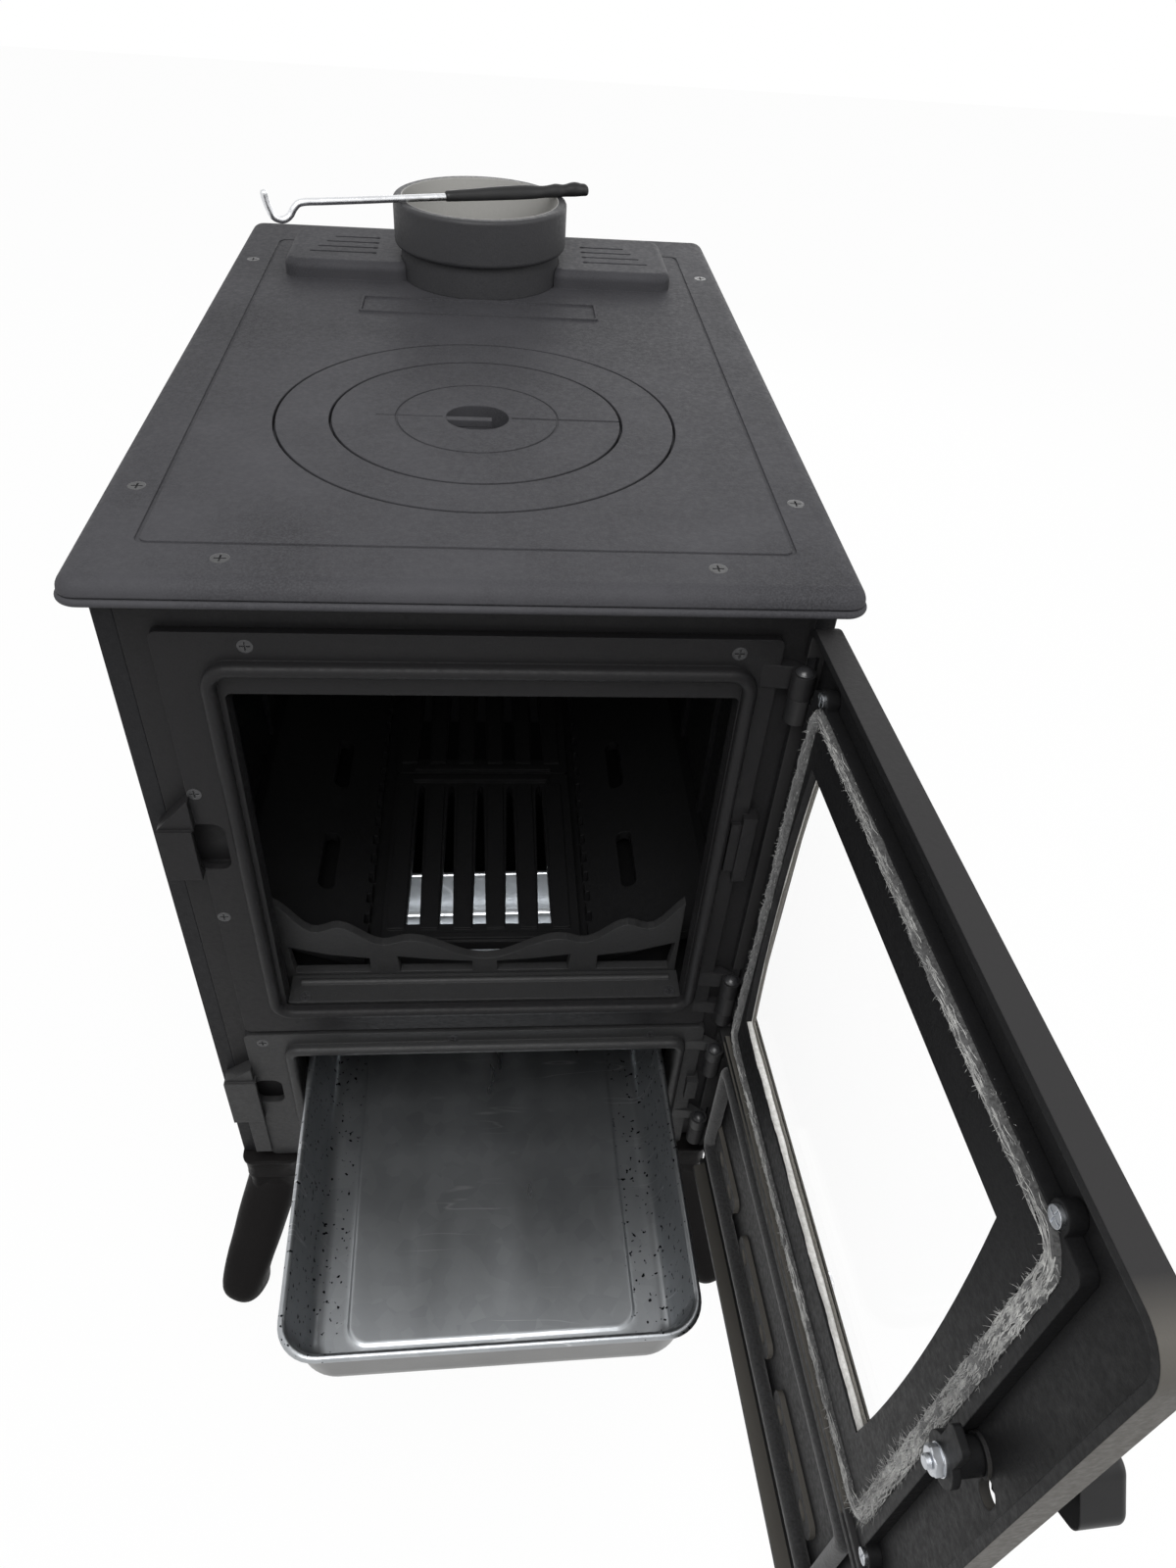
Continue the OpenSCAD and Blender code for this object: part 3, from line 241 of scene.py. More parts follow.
def area(name, at, aim, size, power, spread=180):
    """A rectangular lamp of a power in watts, turned to a point, that the camera doesn't see."""
    data = bpy.data.lights.new(name, "AREA")
    data.shape = "RECTANGLE"
    data.size, data.size_y = size
    data.energy = power
    data.spread = math.radians(spread)
    lamp = bpy.data.objects.new(name, data)
    bpy.context.scene.collection.objects.link(lamp)
    lamp.location = at
    lamp.visible_camera = False
    lamp.rotation_euler = (Vector(aim) - Vector(at)).to_track_quat("-Z", "Y").to_euler()


area("key", (-0.3, -1.7, 1.4), (0, -0.45, -0.3), (1.4, 1.1), 24)
area("back", (0.6, 1.9, 0.35), (0, 0.1, -0.4), (1.8, 1.2), 10)
area("near", (-0.1, -0.85, 0.95), (0, -0.5, 0), (0.7, 0.5), 5)
area("right", (2.0, -0.9, 0.9), (0, -0.4, -0.4), (1.2, 1.6), 12)
# daylight that reaches the ash pan under the grate
area("ash_glow", place(PAN_X, 125, 335), place(PAN_X, 222, 244), (0.22, 0.02), 0.13, 110)

# ---------- looks ----------
# the doors' edges: painted light on the faces that stand edge-on, bright round the window and on the free
# edge, dimmer elsewhere.
# Distances in mm from the hinge axis, and a height above the floor.
LIT_EDGE_TONE = (0.085, 0.080, 0.072)
DIM_LIT_EDGE_TONE = (0.026, 0.0255, 0.026)
LIT_FROM, LIT_TO, LIT_UNDER = 12, 345, 690
LIT_FREE = 392
# the collar's bore, in metres from the flue's axis
BORE_R = 0.0682
BORE_TONE = (0.36, 0.355, 0.34)
# the ash pan: how far from its middle the specks set in, in metres, and the heights in mm above the
# floor that its dull outside ends between
SPECKS_FROM = (0.107, 0.112)
DULL_TO = (283, 286)


def shade(colour, factor):
    return tuple(part * factor for part in colour)


def grey(tone):
    return (tone, tone, tone)


def painted_edge_light(look, base):
    """Edges of the open doors: painted light on the faces that stand edge-on, bright round the window and
    on the free edge, dimmer on the others.
    """
    blur = 0.002
    edge_on = look.span(look.math("ABSOLUTE", look.dot(look.facing, DOOR_OUT)), 1.0, 0.0, 0.35, 0.75)
    across = look.dot(look.at, DOOR_ACROSS)
    start, end = across_door(LIT_FROM), across_door(LIT_TO)
    top, free = height(LIT_UNDER), across_door(LIT_FREE)
    from_hinge = look.span(across, 0.0, 1.0, start - blur, start)
    to_free = look.span(across, 1.0, 0.0, end, end + blur)
    under = look.span(look.axes()["Z"], 1.0, 0.0, top, top + blur)
    on_free = look.span(across, 0.0, 1.0, free - 0.012, free + 0.008)
    window = look.times(look.times(from_hinge, to_free), under)
    brightly_lit = look.times(look.math("MAXIMUM", window, on_free), edge_on)
    return look.mixed(brightly_lit, look.mixed(edge_on, base, DIM_LIT_EDGE_TONE), LIT_EDGE_TONE)


def pale_bore(look, base):
    """The inside of the collar, grey with ash."""
    at = look.axes()
    flat = look.made("ShaderNodeCombineXYZ", 0, {"X": at["X"], "Y": at["Y"]})
    reach = look.made("ShaderNodeVectorMath", "Value", {0: flat}, operation="LENGTH")
    return look.mixed(look.span(reach, 1.0, 0.0, BORE_R, BORE_R + 0.001), base, BORE_TONE)


def cast(name, colour, rough=0.5, grain=1.0, dust=0.25, radius=0.0012, shine=0.2, smoke=0.12, over=None):
    """Matt stove paint on sand cast iron: fine pitted grain, smoky patches, rubbed rounded edges.

    over: a function that paints over the base colour.
    """
    look = Look(name)
    cloud = look.noise(9, 4, 0.6)
    grit = look.noise(900, 2, 0.5)
    pits = look.noise(260, 4, 0.6)
    tint = look.ramp(cloud, (0.3, shade(colour, 1 - smoke)), (0.7, shade(colour, 1 + smoke)))
    specks = look.ramp(grit, (0.35, BLACK), (0.72, WHITE))
    base = look.mixed(specks, tint, shade(colour, 1.0 + dust))
    if over:
        base = over(look, base)
    pitted = look.bump(pits, 0.00035 * grain, 0.5, look.soft_edge(radius))
    look.shaded(Base_Color=base, Roughness=look.span(pits, rough - 0.08, rough + 0.12),
                Normal=look.bump(grit, 0.00012 * grain, 0.6, pitted),
                Metallic=0.0, Specular_IOR_Level=shine)


def metal(name, colour, rough=0.3, scale=160):
    """Plated or polished metal, a little cloudy."""
    look = Look(name)
    fine = look.noise(scale, 3, 0.6)
    cloud = look.noise(14, 3, 0.6)
    look.shaded(Base_Color=look.ramp(cloud, (0.3, shade(colour, 0.82)), (0.7, colour)),
                Roughness=look.span(fine, rough - 0.08, rough + 0.14),
                Normal=look.bump(fine, 0.00008, 0.6, look.soft_edge(0.0005)), Metallic=1.0)


def galvanised(name):
    """Zinc coated sheet: soft spangle, smoky patches, scratches across, dark specks beside the walls."""
    look = Look(name)
    cells = look.made("ShaderNodeTexVoronoi", "Color", {"Scale": 85, "Vector": look.at}, feature="F1")
    cloud = look.noise(7, 5, 0.62)
    smear = look.noise(16, 4, 0.6, (1.0, 0.25, 1.0))
    fine = look.noise(420, 3, 0.6)
    spangle = look.ramp(cells, (0.1, (0.36, 0.375, 0.39)), (0.9, (0.41, 0.425, 0.44)))
    smoky = look.ramp(cloud, (0.36, (0.45, 0.46, 0.47)), (0.66, WHITE))
    base = look.darkened(0.22, spangle, smoky)
    # scratches: thin contour lines of a stretched noise, kept to a few patches
    lines = look.noise(1.0, 2, 0.5, (6, 55, 6))
    thin = look.ramp(lines, (0.488, BLACK), (0.5, WHITE), (0.512, BLACK))
    some = look.span(look.noise(11, 2, 0.5), 0.0, 0.7, 0.48, 0.6)
    base = look.mixed(look.times(thin, some), base, (0.75, 0.76, 0.77))
    # specks: peaks of a fine noise, between the pressed panel and the walls
    at = look.axes()
    spots = look.span(look.noise(260, 1, 0.4), 0.0, 1.0, 0.665, 0.70)
    away = look.math("ABSOLUTE", look.math("SUBTRACT", at["X"], PAN_X / 1000))
    beside = look.span(away, 0.0, 1.0, *SPECKS_FROM)
    base = look.mixed(look.times(spots, beside), base, (0.01, 0.01, 0.012))
    # the outside of the walls is duller: there the way out from the pan's middle agrees with the normal
    way_out = look.made("ShaderNodeVectorMath", 0, {0: look.at, 1: place(PAN_X, PAN_Y, 264)},
                        operation="SUBTRACT")
    outer = look.span(look.dot(way_out, look.facing), 0.0, 1.0, 0.09, 0.12)
    below = look.span(at["Z"], 1.0, 0.0, *(height(z) for z in DULL_TO))
    base = look.mixed(look.times(outer, below), base, (0.085, 0.085, 0.083))
    look.shaded(Base_Color=base, Roughness=look.span(smear, 0.27, 0.33),
                Normal=look.bump(fine, 0.00006, 0.5, look.bump(cloud, 0.0012, 0.06)), Metallic=0.97)


def rope(name, light, dark, scale=520):
    """Woven glass fibre, sooty in patches."""
    look = Look(name)
    fibre = look.noise(scale, 4, 0.7)
    broad = look.noise(60, 3, 0.6)
    tone = look.ramp(fibre, (0.32, dark), (0.68, light))
    soot = look.ramp(look.noise(11, 3, 0.6), (0.4, grey(0.45)), (0.62, WHITE))
    look.shaded(Base_Color=look.darkened(0.6, tone, soot), Roughness=0.9, Sheen_Weight=0.25,
                Normal=look.bump(fibre, 0.0006, 0.9, look.bump(broad, 0.0012, 0.7)))


def moulded(name, colour, rough):
    """Smooth moulded surface of the grips."""
    look = Look(name)
    fine = look.noise(700, 2, 0.5)
    cloud = look.noise(25, 3, 0.6)
    look.shaded(Base_Color=look.ramp(cloud, (0.3, shade(colour, 0.8)), (0.7, shade(colour, 1.25))),
                Roughness=look.span(cloud, rough - 0.06, rough + 0.12),
                Normal=look.bump(fine, 0.0001, 0.5, look.soft_edge(0.0012)),
                Specular_IOR_Level=0.28)


def clear_glass(name):
    """A thin clear pane: its refraction is kept low, so that the view through it isn't shifted."""
    look = Look(name)
    look.shaded(Base_Color=WHITE, Transmission_Weight=1.0, IOR=1.04,
                Roughness=look.span(look.noise(12, 4, 0.6), 0.0, 0.02))


# the record's slots
cast("cast_top", (0.0405, 0.0402, 0.0440), 0.58, 0.9, shine=0.08, smoke=0.3)
cast("cast_frame", (0.0125, 0.0122, 0.0128), 0.42, shine=0.12)
cast("cast_body", (0.011, 0.011, 0.012), 0.5, 1.2, shine=0.12)
cast("cast_inside", (0.009, 0.009, 0.0095), 0.46, 1.6)
cast("door_paint", (0.0095, 0.0095, 0.010), 0.46, 0.9, shine=0.1)
metal("zinc", (0.55, 0.57, 0.60))
cast("screw_dark", (0.022, 0.022, 0.0235), 0.32, 0.5, radius=0.0004, shine=0.5)
cast("sheet_dark", (0.014, 0.014, 0.015), 0.42, 0.5)
galvanised("galvanised")
rope("rope_grey", grey(0.10), grey(0.010))
rope("rope_black", (0.030, 0.030, 0.032), grey(0.006))
rope("gasket_white", (0.85, 0.84, 0.82), (0.6, 0.59, 0.56), 300)
clear_glass("glass")
moulded("grip_black", (0.010, 0.010, 0.0105), 0.38)
metal("chrome", (0.85, 0.86, 0.88), 0.12, 90)
# single pieces
rope("fibre_grey", (0.58, 0.58, 0.56), grey(0.18), 200)
# painted light on the lit reveal round the fire door's window
cast("lit_reveal", (0.10, 0.095, 0.085), 0.4, 0.8, dust=0.5, smoke=0.3)
metal("rod_zinc", (0.80, 0.81, 0.83), 0.26, 220)
cast("cast_leg", (0.0056, 0.0050, 0.0050), 0.44, shine=0.07)
# painted light: a lighter copy of the cast iron for the low front parts, which the light from the front
# falls on
cast("cast_low_lit", (0.023, 0.023, 0.0235), 0.44, 1.1)
# the doors' casting, with painted light on its edge-on faces
cast("door_lit_edges", (0.0105, 0.0105, 0.011), 0.48, 0.9, shine=0.1, over=painted_edge_light)
cast("cast_collar", (0.030, 0.030, 0.032), 0.46, shine=0.22, over=pale_bore)

OWN_LOOK = {"fire_door_shell": "door_lit_edges", "ash_door_shell": "door_lit_edges", "flue_collar": "cast_collar",
            "log_guard": "cast_low_lit", "sill_plate": "cast_low_lit", "ash_frame": "cast_low_lit"}
for part in frame["record"]["subparts"]:
    data = NODES[part["node"]].data
    data.materials.clear()
    data.materials.append(LOOKS[OWN_LOOK.get(part["node"], part["material_slot"])])


# ---------- mesh helpers ----------
def build(name, verts, faces, body, slot, look=None, stands_for=(), smooth=True):
    """A piece of the visual model: vertices in the row frame, faces as index tuples."""
    mesh = bpy.data.meshes.new(name)
    mesh.from_pydata([tuple(v) for v in verts], [], faces)
    mesh.validate()
    if smooth:
        mesh.shade_smooth()
    obj = bpy.data.objects.new(name, mesh)
    bpy.context.scene.collection.objects.link(obj)
    mesh.materials.append(LOOKS[look or slot])
    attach(obj, body)
    if stands_for:
        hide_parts(*stands_for)
    return obj


def row_faces(rows, segs, closed=False, first=0):
    """Faces between rows of segs vertices each, and from the last row to the first where closed."""
    faces = []
    for i in range(rows if closed else rows - 1):
        j = (i + 1) % rows
        for k in range(segs):
            m = (k + 1) % segs
            faces.append(tuple(first + n for n in (i * segs + k, i * segs + m, j * segs + m, j * segs + k)))
    return faces


def bar_faces(rows, segs, first=0):
    """Faces of a solid bar: between its rows, and over both ends."""
    end = first + rows * segs
    return [*row_faces(rows, segs, first=first), tuple(range(first, first + segs))[::-1],
            tuple(range(end - segs, end))]


def turn_of(k, segs):
    return 2 * math.pi * k / segs


def tube(points, radii, segs):
    """Verts and faces of a solid round bar along points, with a radius at each."""
    points = [Vector(p) for p in points]
    verts = []
    side = UP
    for i, (p, radius) in enumerate(zip(points, radii)):
        ahead = (points[min(i + 1, len(points) - 1)] - points[max(i - 1, 0)]).normalized()
        side = side - ahead * side.dot(ahead)
        if side.length < 1e-6:
            side = ahead.orthogonal()
        side.normalize()
        other = ahead.cross(side)
        for k in range(segs):
            a = turn_of(k, segs)
            verts.append(p + (side * math.cos(a) + other * math.sin(a)) * radius)
    return verts, bar_faces(len(points), segs)


def smooth_path(points, steps):
    """Catmull-Rom curve through points."""
    pts = [Vector(p) for p in points]
    pts = [pts[0] * 2 - pts[1]] + pts + [pts[-1] * 2 - pts[-2]]
    path = []
    for i in range(1, len(pts) - 2):
        a, b, c, d = pts[i - 1:i + 3]
        for k in range(steps):
            t = k / steps
            path.append(0.5 * (2 * b + (c - a) * t + (2 * a - 5 * b + 4 * c - d) * t * t
                               + (3 * b - a - 3 * c + d) * t ** 3))
    path.append(pts[-2])
    return path


def corners(half_x, half_y, r):
    """Middle of each corner's arc of a rounded rectangle, and the angle in degrees it starts at."""
    x, y = half_x - r, half_y - r
    return ((x, y, 0), (-x, y, 90), (-x, -y, 180), (x, -y, 270))


def rounded_row(half_x, half_y, r, count):
    """Points round a rounded rectangle about the origin, with count points on each corner."""
    row = []
    for cx, cy, start in corners(half_x, half_y, r):
        for k in range(count):
            a = math.radians(start + 90 * k / (count - 1))
            row.append((cx + r * math.cos(a), cy + r * math.sin(a)))
    return row


def rounded_loop(x0, x1, z0, z1, r, step):
    """Points (x, z) and outward normals round a rounded rectangle, evenly spaced."""
    out = []
    arcs = [(x1 - r, z1 - r, 0), (x0 + r, z1 - r, 90), (x0 + r, z0 + r, 180), (x1 - r, z0 + r, 270)]
    for n, (cx, cz, start) in enumerate(arcs):
        count = max(4, int(r * math.pi / 2 / step))
        for k in range(count):
            a = math.radians(start + 90 * k / count)
            out.append((cx + r * math.cos(a), cz + r * math.sin(a), math.cos(a), math.sin(a)))
        nx, nz, _ = arcs[(n + 1) % 4]
        a = math.radians(start + 90)
        ax, az = cx + r * math.cos(a), cz + r * math.sin(a)
        bx, bz = nx + r * math.cos(a), nz + r * math.sin(a)
        count = max(1, int(math.hypot(bx - ax, bz - az) / step))
        for k in range(count):
            f = k / count
            out.append((ax + (bx - ax) * f, az + (bz - az) * f, math.cos(a), math.sin(a)))
    return out


def wobble(rng, count, waves):
    """A smooth closed random line: count values from a few waves of (turns, size)."""
    terms = [(turns, size, rng.random() * 2 * math.pi) for turns, size in waves]
    return [sum(size * math.sin(2 * math.pi * turns * i / count + phase) for turns, size, phase in terms)
            for i in range(count)]


def clamp(value, low=0.0, high=1.0):
    return max(low, min(high, value))


# ---------- fire door's rope ----------
ROPE_X0, ROPE_X1, ROPE_Z0, ROPE_Z1 = HINGE_X - 355, HINGE_X - 22, 363, 697
ROPE_CORNER = 14
ROPE_STEP = 2.2
ROPE_Y = HINGE_Y - 6.0
ROPE_R = 5.6
ROPE_SEGS = 22
# the rope is pressed wider than it is deep, and lies on its channel's floor, below ROPE_Y
ROPE_WIDE, ROPE_DEEP = 1.04, 0.86
CHANNEL_FLOOR = -4.0
# groove that the frame's lip presses along the crest: depth, and width in cosines of the angle
GROOVE, GROOVE_WIDE = 1.2, 0.28
FIBRES = 2400
THREADS = 1800
# the rope is most worn past this x, and towards its foot below this height
WORN_X, WORN_Z = -130, 620
# how far along and how wide a loose fibre still is at its three steps
FIBRE_STEPS = ((0, 1.0), (0.45, 0.8), (0.8, 0.5))

rope_path = rounded_loop(ROPE_X0, ROPE_X1, ROPE_Z0, ROPE_Z1, ROPE_CORNER, ROPE_STEP)


def groove_at(a):
    """How deep the groove is at an angle round the rope. 0 points outwards in the door's plane and
    90 degrees out of the channel."""
    return GROOVE * math.exp(-(math.cos(a) / GROOVE_WIDE) ** 2)


def on_rope(spot, out, rise, along=0.0):
    """A point by a place on the rope's path: out in the door's plane, up out of the channel and along
    the path, in mm."""
    px, pz, nx, nz = spot
    return swing(px + nx * out - nz * along, ROPE_Y + rise, pz + nz * out + nx * along)


def fray(px, pz):
    """How worn the rope is: most on the free side and towards its foot, a little elsewhere."""
    free = clamp((WORN_X - px) / 20)
    low = clamp((WORN_Z - pz) / 150)
    return max(0.12, free * (0.45 + 0.55 * low))


def fibre_onto(verts, faces, root, lean, length, curl, thick):
    """Adds one loose fibre: a thin closed three-sided spike in three steps."""
    n = len(verts)
    side = lean.orthogonal().normalized()
    other = lean.cross(side).normalized()
    for f, wide in FIBRE_STEPS:
        p = root + lean * length * f + curl * length * f * f
        for k in range(3):
            a = turn_of(k, 3)
            verts.append(p + (side * math.cos(a) + other * math.sin(a)) * thick * wide)
    verts.append(root + lean * length + curl * length)
    faces.append((n + 2, n + 1, n))
    faces += row_faces(len(FIBRE_STEPS), 3, first=n)
    last = n + 3 * (len(FIBRE_STEPS) - 1)
    for k in range(3):
        faces.append((last + k, last + (k + 1) % 3, last + 3))


def fire_rope():
    """Glass fibre rope pressed in its channel, with the lip's groove along it and frayed fibres."""
    rng = random.Random(11)
    n = len(rope_path)
    shift = wobble(rng, n, ((3, 0.5), (7, 0.45), (13, 0.35), (31, 0.25)))
    swell = wobble(rng, n, ((5, 0.25), (17, 0.25), (43, 0.25), (90, 0.15)))
    verts = []
    for i, spot in enumerate(rope_path):
        for k in range(ROPE_SEGS):
            a = turn_of(k, ROPE_SEGS)
            # strands show as low waves that wind along the rope
            rad = ROPE_R + 0.35 * math.sin(3 * a + i * 0.55) + 0.25 * math.sin(5 * a - i * 0.9) + swell[i]
            rad += 0.25 * (rng.random() - 0.5)
            front = math.sin(a)
            if front > 0:
                rad -= groove_at(a) * (0.8 + 0.4 * math.sin(i * 0.13))
            rise = max(rad * front, CHANNEL_FLOOR) * (ROPE_DEEP if front > 0 else 1.0)
            verts.append(on_rope(spot, rad * math.cos(a) * ROPE_WIDE + shift[i], rise))
    build("rope_fire", verts, row_faces(n, ROPE_SEGS, closed=True), "fire_door", "rope_grey",
          stands_for=("fire_door_rope",))
    verts, faces = [], []
    total = 0
    while total < FIBRES:
        i = rng.randrange(n)
        spot = rope_path[i]
        heavy = fray(spot[0], spot[1])
        if rng.random() > 0.35 + 0.65 * heavy:
            continue
        a = math.radians(rng.uniform(5, 175))
        rad = ROPE_R - 0.4
        out = rad * math.cos(a) * ROPE_WIDE + shift[i]
        rise = rad * math.sin(a) * ROPE_DEEP
        root = on_rope(spot, out, rise)
        along = rng.uniform(-1.0, 1.0)
        lean_out = math.cos(a) * rng.uniform(0.3, 1.0)
        lean_up = math.sin(a) * rng.uniform(0.05, 0.5)
        lean = on_rope(spot, out + lean_out, rise + lean_up, along) - root
        lean.normalize()
        curl = Vector((rng.uniform(-0.3, 0.3), rng.uniform(-0.3, 0.3), rng.uniform(-0.45, 0.1)))
        length = rng.uniform(0.0014, 0.0034) * (1 + 0.9 * heavy)
        fibre_onto(verts, faces, root, lean, length, curl, rng.uniform(0.00009, 0.00019))
        total += 1
    build("rope_fire_fibres", verts, faces, "fire_door", "rope_grey", "fibre_grey", smooth=False)


def loose_threads():
    """Pale threads on the rope's crest, thin closed bars that follow the rope: loose fibre where the rope
    is worn, and partly painted highlight along the crest, with painted rim light at the outer edge on the
    hinge side.
    """
    rng = random.Random(23)
    n = len(rope_path)
    verts, faces = [], []
    made = 0
    while made < THREADS:
        start = rng.randrange(n)
        nx = rope_path[start][2]
        free = nx < -0.6
        hinge = nx > 0.7
        # threads stand for wear and for painted light: a highlight along the crest, and on the hinge side
        # rim light at the outer edge
        worn_and_lit = 1.0 if free else 0.05 if hinge else 0.3
        if rng.random() > worn_and_lit:
            continue
        # angle round the rope, in degrees, and how far a thread may drift from it
        if free:
            a, drift = rng.gauss(80, 34), 26
        elif hinge:
            a, drift = rng.uniform(4, 30), 8
        else:
            a, drift = rng.gauss(88, 20), 16
        steps = rng.randrange(3, 7) if hinge else rng.randrange(5, 15)
        drifted = rng.uniform(-drift, drift)
        thick = rng.uniform(0.10, 0.30) * (1.25 if free else 1.0)
        lift = rng.uniform(-0.25, 0.35)
        phase = rng.uniform(0, 6.3)
        points, radii = [], []
        for k in range(steps):
            ang = math.radians(clamp(a + drifted * k / steps + 5 * math.sin(k * 0.9 + phase), 3, 177))
            rad = ROPE_R + lift + 0.3 * math.sin(k * 0.7 + phase) - groove_at(ang)
            spot = rope_path[(start + k) % n]
            points.append(on_rope(spot, rad * math.cos(ang) * ROPE_WIDE, rad * math.sin(ang) * ROPE_DEEP))
            radii.append(thick * (0.45 if k in (0, steps - 1) else 1.0) / 1000)
        thread_verts, thread_faces = tube(points, radii, 4)
        base = len(verts)
        verts += thread_verts
        faces += [tuple(base + i for i in face) for face in thread_faces]
        made += 1
    build("rope_fire_strands", verts, faces, "fire_door", "rope_grey", "fibre_grey")


fire_rope()
loose_threads()

# ---------- fire door's window: gasket, and painted light on the reveal ---
WINDOW_X0, WINDOW_X1, WINDOW_Z0, WINDOW_Z1 = HINGE_X - 322, HINGE_X - 36, 400, 661
WINDOW_MID = (WINDOW_Z0 + WINDOW_Z1) / 2
WINDOW_HALF = (WINDOW_Z1 - WINDOW_Z0) / 2
WINDOW_BOW = 7.0
# the hidden edge of a bead, under the frame
UNDER_FRAME = -3.0


def window_band(name, profile, look, seed, cover, sides, stands_for=()):
    """A bead squeezed out round the glass, for the white gasket and for a pale band of painted light on the
    lit reveal of the door's casting.

    profile: rows of (whether it shows in the window, distance from the hinge axis towards the door's
    outer face, how much of the ooze it takes).
    cover, sides: how far the bead shows at the foot of the window, and elsewhere.
    """
    rng = random.Random(seed)
    path = rounded_loop(WINDOW_X0, WINDOW_X1, WINDOW_Z0, WINDOW_Z1, 3, 2.5)
    ooze = wobble(rng, len(path), ((4, 0.45), (9, 0.45), (21, 0.4), (47, 0.3)))
    verts = []
    for i, (px, pz, nx, nz) in enumerate(path):
        # the frame's upright edges bow, and the bead with them
        bow = WINDOW_BOW * (1 - ((pz - WINDOW_MID) / WINDOW_HALF) ** 2) if abs(nx) > 0.9 else 0.0
        shown = cover if nz < -0.9 else sides
        for shows, deep, loose in profile:
            push = loose * (ooze[i] + 0.4 * (rng.random() - 0.5))
            inner = shown if shows else UNDER_FRAME
            verts.append(swing(px + nx * (bow - inner), HINGE_Y - deep - push, pz - nz * inner))
    build(name, verts, row_faces(len(path), len(profile), closed=True), "fire_door", "gasket_white", look,
          stands_for)


window_band("gasket_tape", [(False, 8.8, 0), (True, 4.9, -0.55), (True, 9.4, 0.25), (True, 11.0, 0),
                            (False, 11.8, 0)], "gasket_white", 5, 0.8, -0.2, ("glass_gasket",))
# painted light: a pale band on the lit reveal of the door's casting round the glass
window_band("lit_reveal_band", [(False, 11.9, 0), (True, 9.3, 0.3), (True, 11.95, 0)], "lit_reveal", 8, 1.3, 1.2)

# ---------- latch nuts, on the inner face of each door ----------
LATCH_X = HINGE_X - 377
NUT_BASE_Y = -6.5
NUT_SEGS = 36
# rows of (distance along the shaft, radius, corner radius of the hexagon or 0 where round)
WASHER_ROWS = [(0.0, 7.4, 0), (1.0, 7.4, 0), (1.1, 7.2, 0)]
NUT_ROWS = [(1.1, 6.3, 7.0), (1.4, 7.2, 7.1), (4.9, 7.2, 7.1), (5.4, 6.2, 7.1), (5.5, 5.6, 7.1)]
THREAD_ROWS = [(5.5 + 0.25 * k, 3.35 if k % 2 else 3.0, 0) for k in range(11)]
SHAFT_END = [(8.3, 2.4, 0)]


def hexagon(a, corner):
    """Distance to a hexagon's side at an angle, from its corner radius."""
    sixth = math.pi / 3
    return corner * math.cos(sixth / 2) / math.cos((a + sixth / 2) % sixth - sixth / 2)


def latch_end(z, body, node, name):
    """Washer, nut with chamfered corners and the threaded end of a latch's shaft."""
    base = swing(LATCH_X, NUT_BASE_Y, z)
    along = (swing(LATCH_X, 0, z) - base).normalized()
    side = along.cross(UP)
    rows = WASHER_ROWS + NUT_ROWS + THREAD_ROWS + SHAFT_END
    verts = []
    for d, radius, corner in rows:
        for k in range(NUT_SEGS):
            a = turn_of(k, NUT_SEGS)
            r = min(radius, hexagon(a, corner)) if corner else radius
            verts.append(base + (along * d + UP * math.cos(a) * r + side * math.sin(a) * r) / 1000)
    build(name, verts, bar_faces(len(rows), NUT_SEGS), body, "zinc", stands_for=(node,), smooth=False)


latch_end(545, "fire_latch", "fire_latch_nut", "nut_fire")
latch_end(250, "ash_latch", "ash_latch_nut", "nut_ash")

# ---------- lid lifter, along its own line from the grip's end ----------
TOOL_END = place(96.2, 538.8, FLUE_Z + 3)
TOOL_YAW = math.radians(18.4)
TOOL_ALONG = Vector((math.cos(TOOL_YAW), math.sin(TOOL_YAW), 0))
TOOL_SIDE = Vector((-math.sin(TOOL_YAW), math.cos(TOOL_YAW), 0))
ROD_LINE = ((-120, 0), (-160, 0.1), (-200, 0), (-235, 0.1), (-255, 0), (-261.5, -3.5), (-266, -9.5),
            (-272, -12.5), (-279, -10), (-282.5, -3), (-284.5, 4), (-285.3, 10))
ROD_R = 2.9 / 1000
ROD_TIP_R = [2.7 / 1000, 2.2 / 1000]
# rows of (place along, radius, how far the middle is raised)
GRIP_ROWS = ((-133, 3.6, 0), (-132.4, 5.0, 0), (-128, 5.3, 0), (-115, 5.6, 0), (-100, 6.2, 0),
             (-86, 7.0, 0), (-72, 7.5, -0.2), (-60, 7.6, -0.2), (-52, 6.9, 0.0), (-46, 5.7, 0.3),
             (-40, 5.3, 0.7), (-35, 5.9, 1.0), (-31, 6.4, 1.2), (-27, 5.6, 1.2), (-23, 5.0, 1.3),
             (-19, 5.9, 1.6), (-14, 6.6, 1.9), (-10, 6.2, 1.8), (-7, 5.3, 1.5), (-4, 5.6, 1.3),
             (-1.2, 4.6, 1.0), (0, 2.6, 0.8))
GRIP_SEGS = 24
GRIP_NARROW = 0.92
# the collar's rim, which the grip lies on with a flat
RIM_BELOW = -3.0


def on_tool(u, w, z):
    return TOOL_END + (TOOL_ALONG * u + TOOL_SIDE * w) / 1000 + Vector((0, 0, z / 1000))


rod_path = smooth_path([on_tool(u, 0, z) for u, z in ROD_LINE], 6)
rod_radii = [ROD_R] * (len(rod_path) - len(ROD_TIP_R)) + ROD_TIP_R
build("lifter_rod", *tube(rod_path, rod_radii, 16), "lid_tool", "zinc", "rod_zinc", ("tool_rod",))

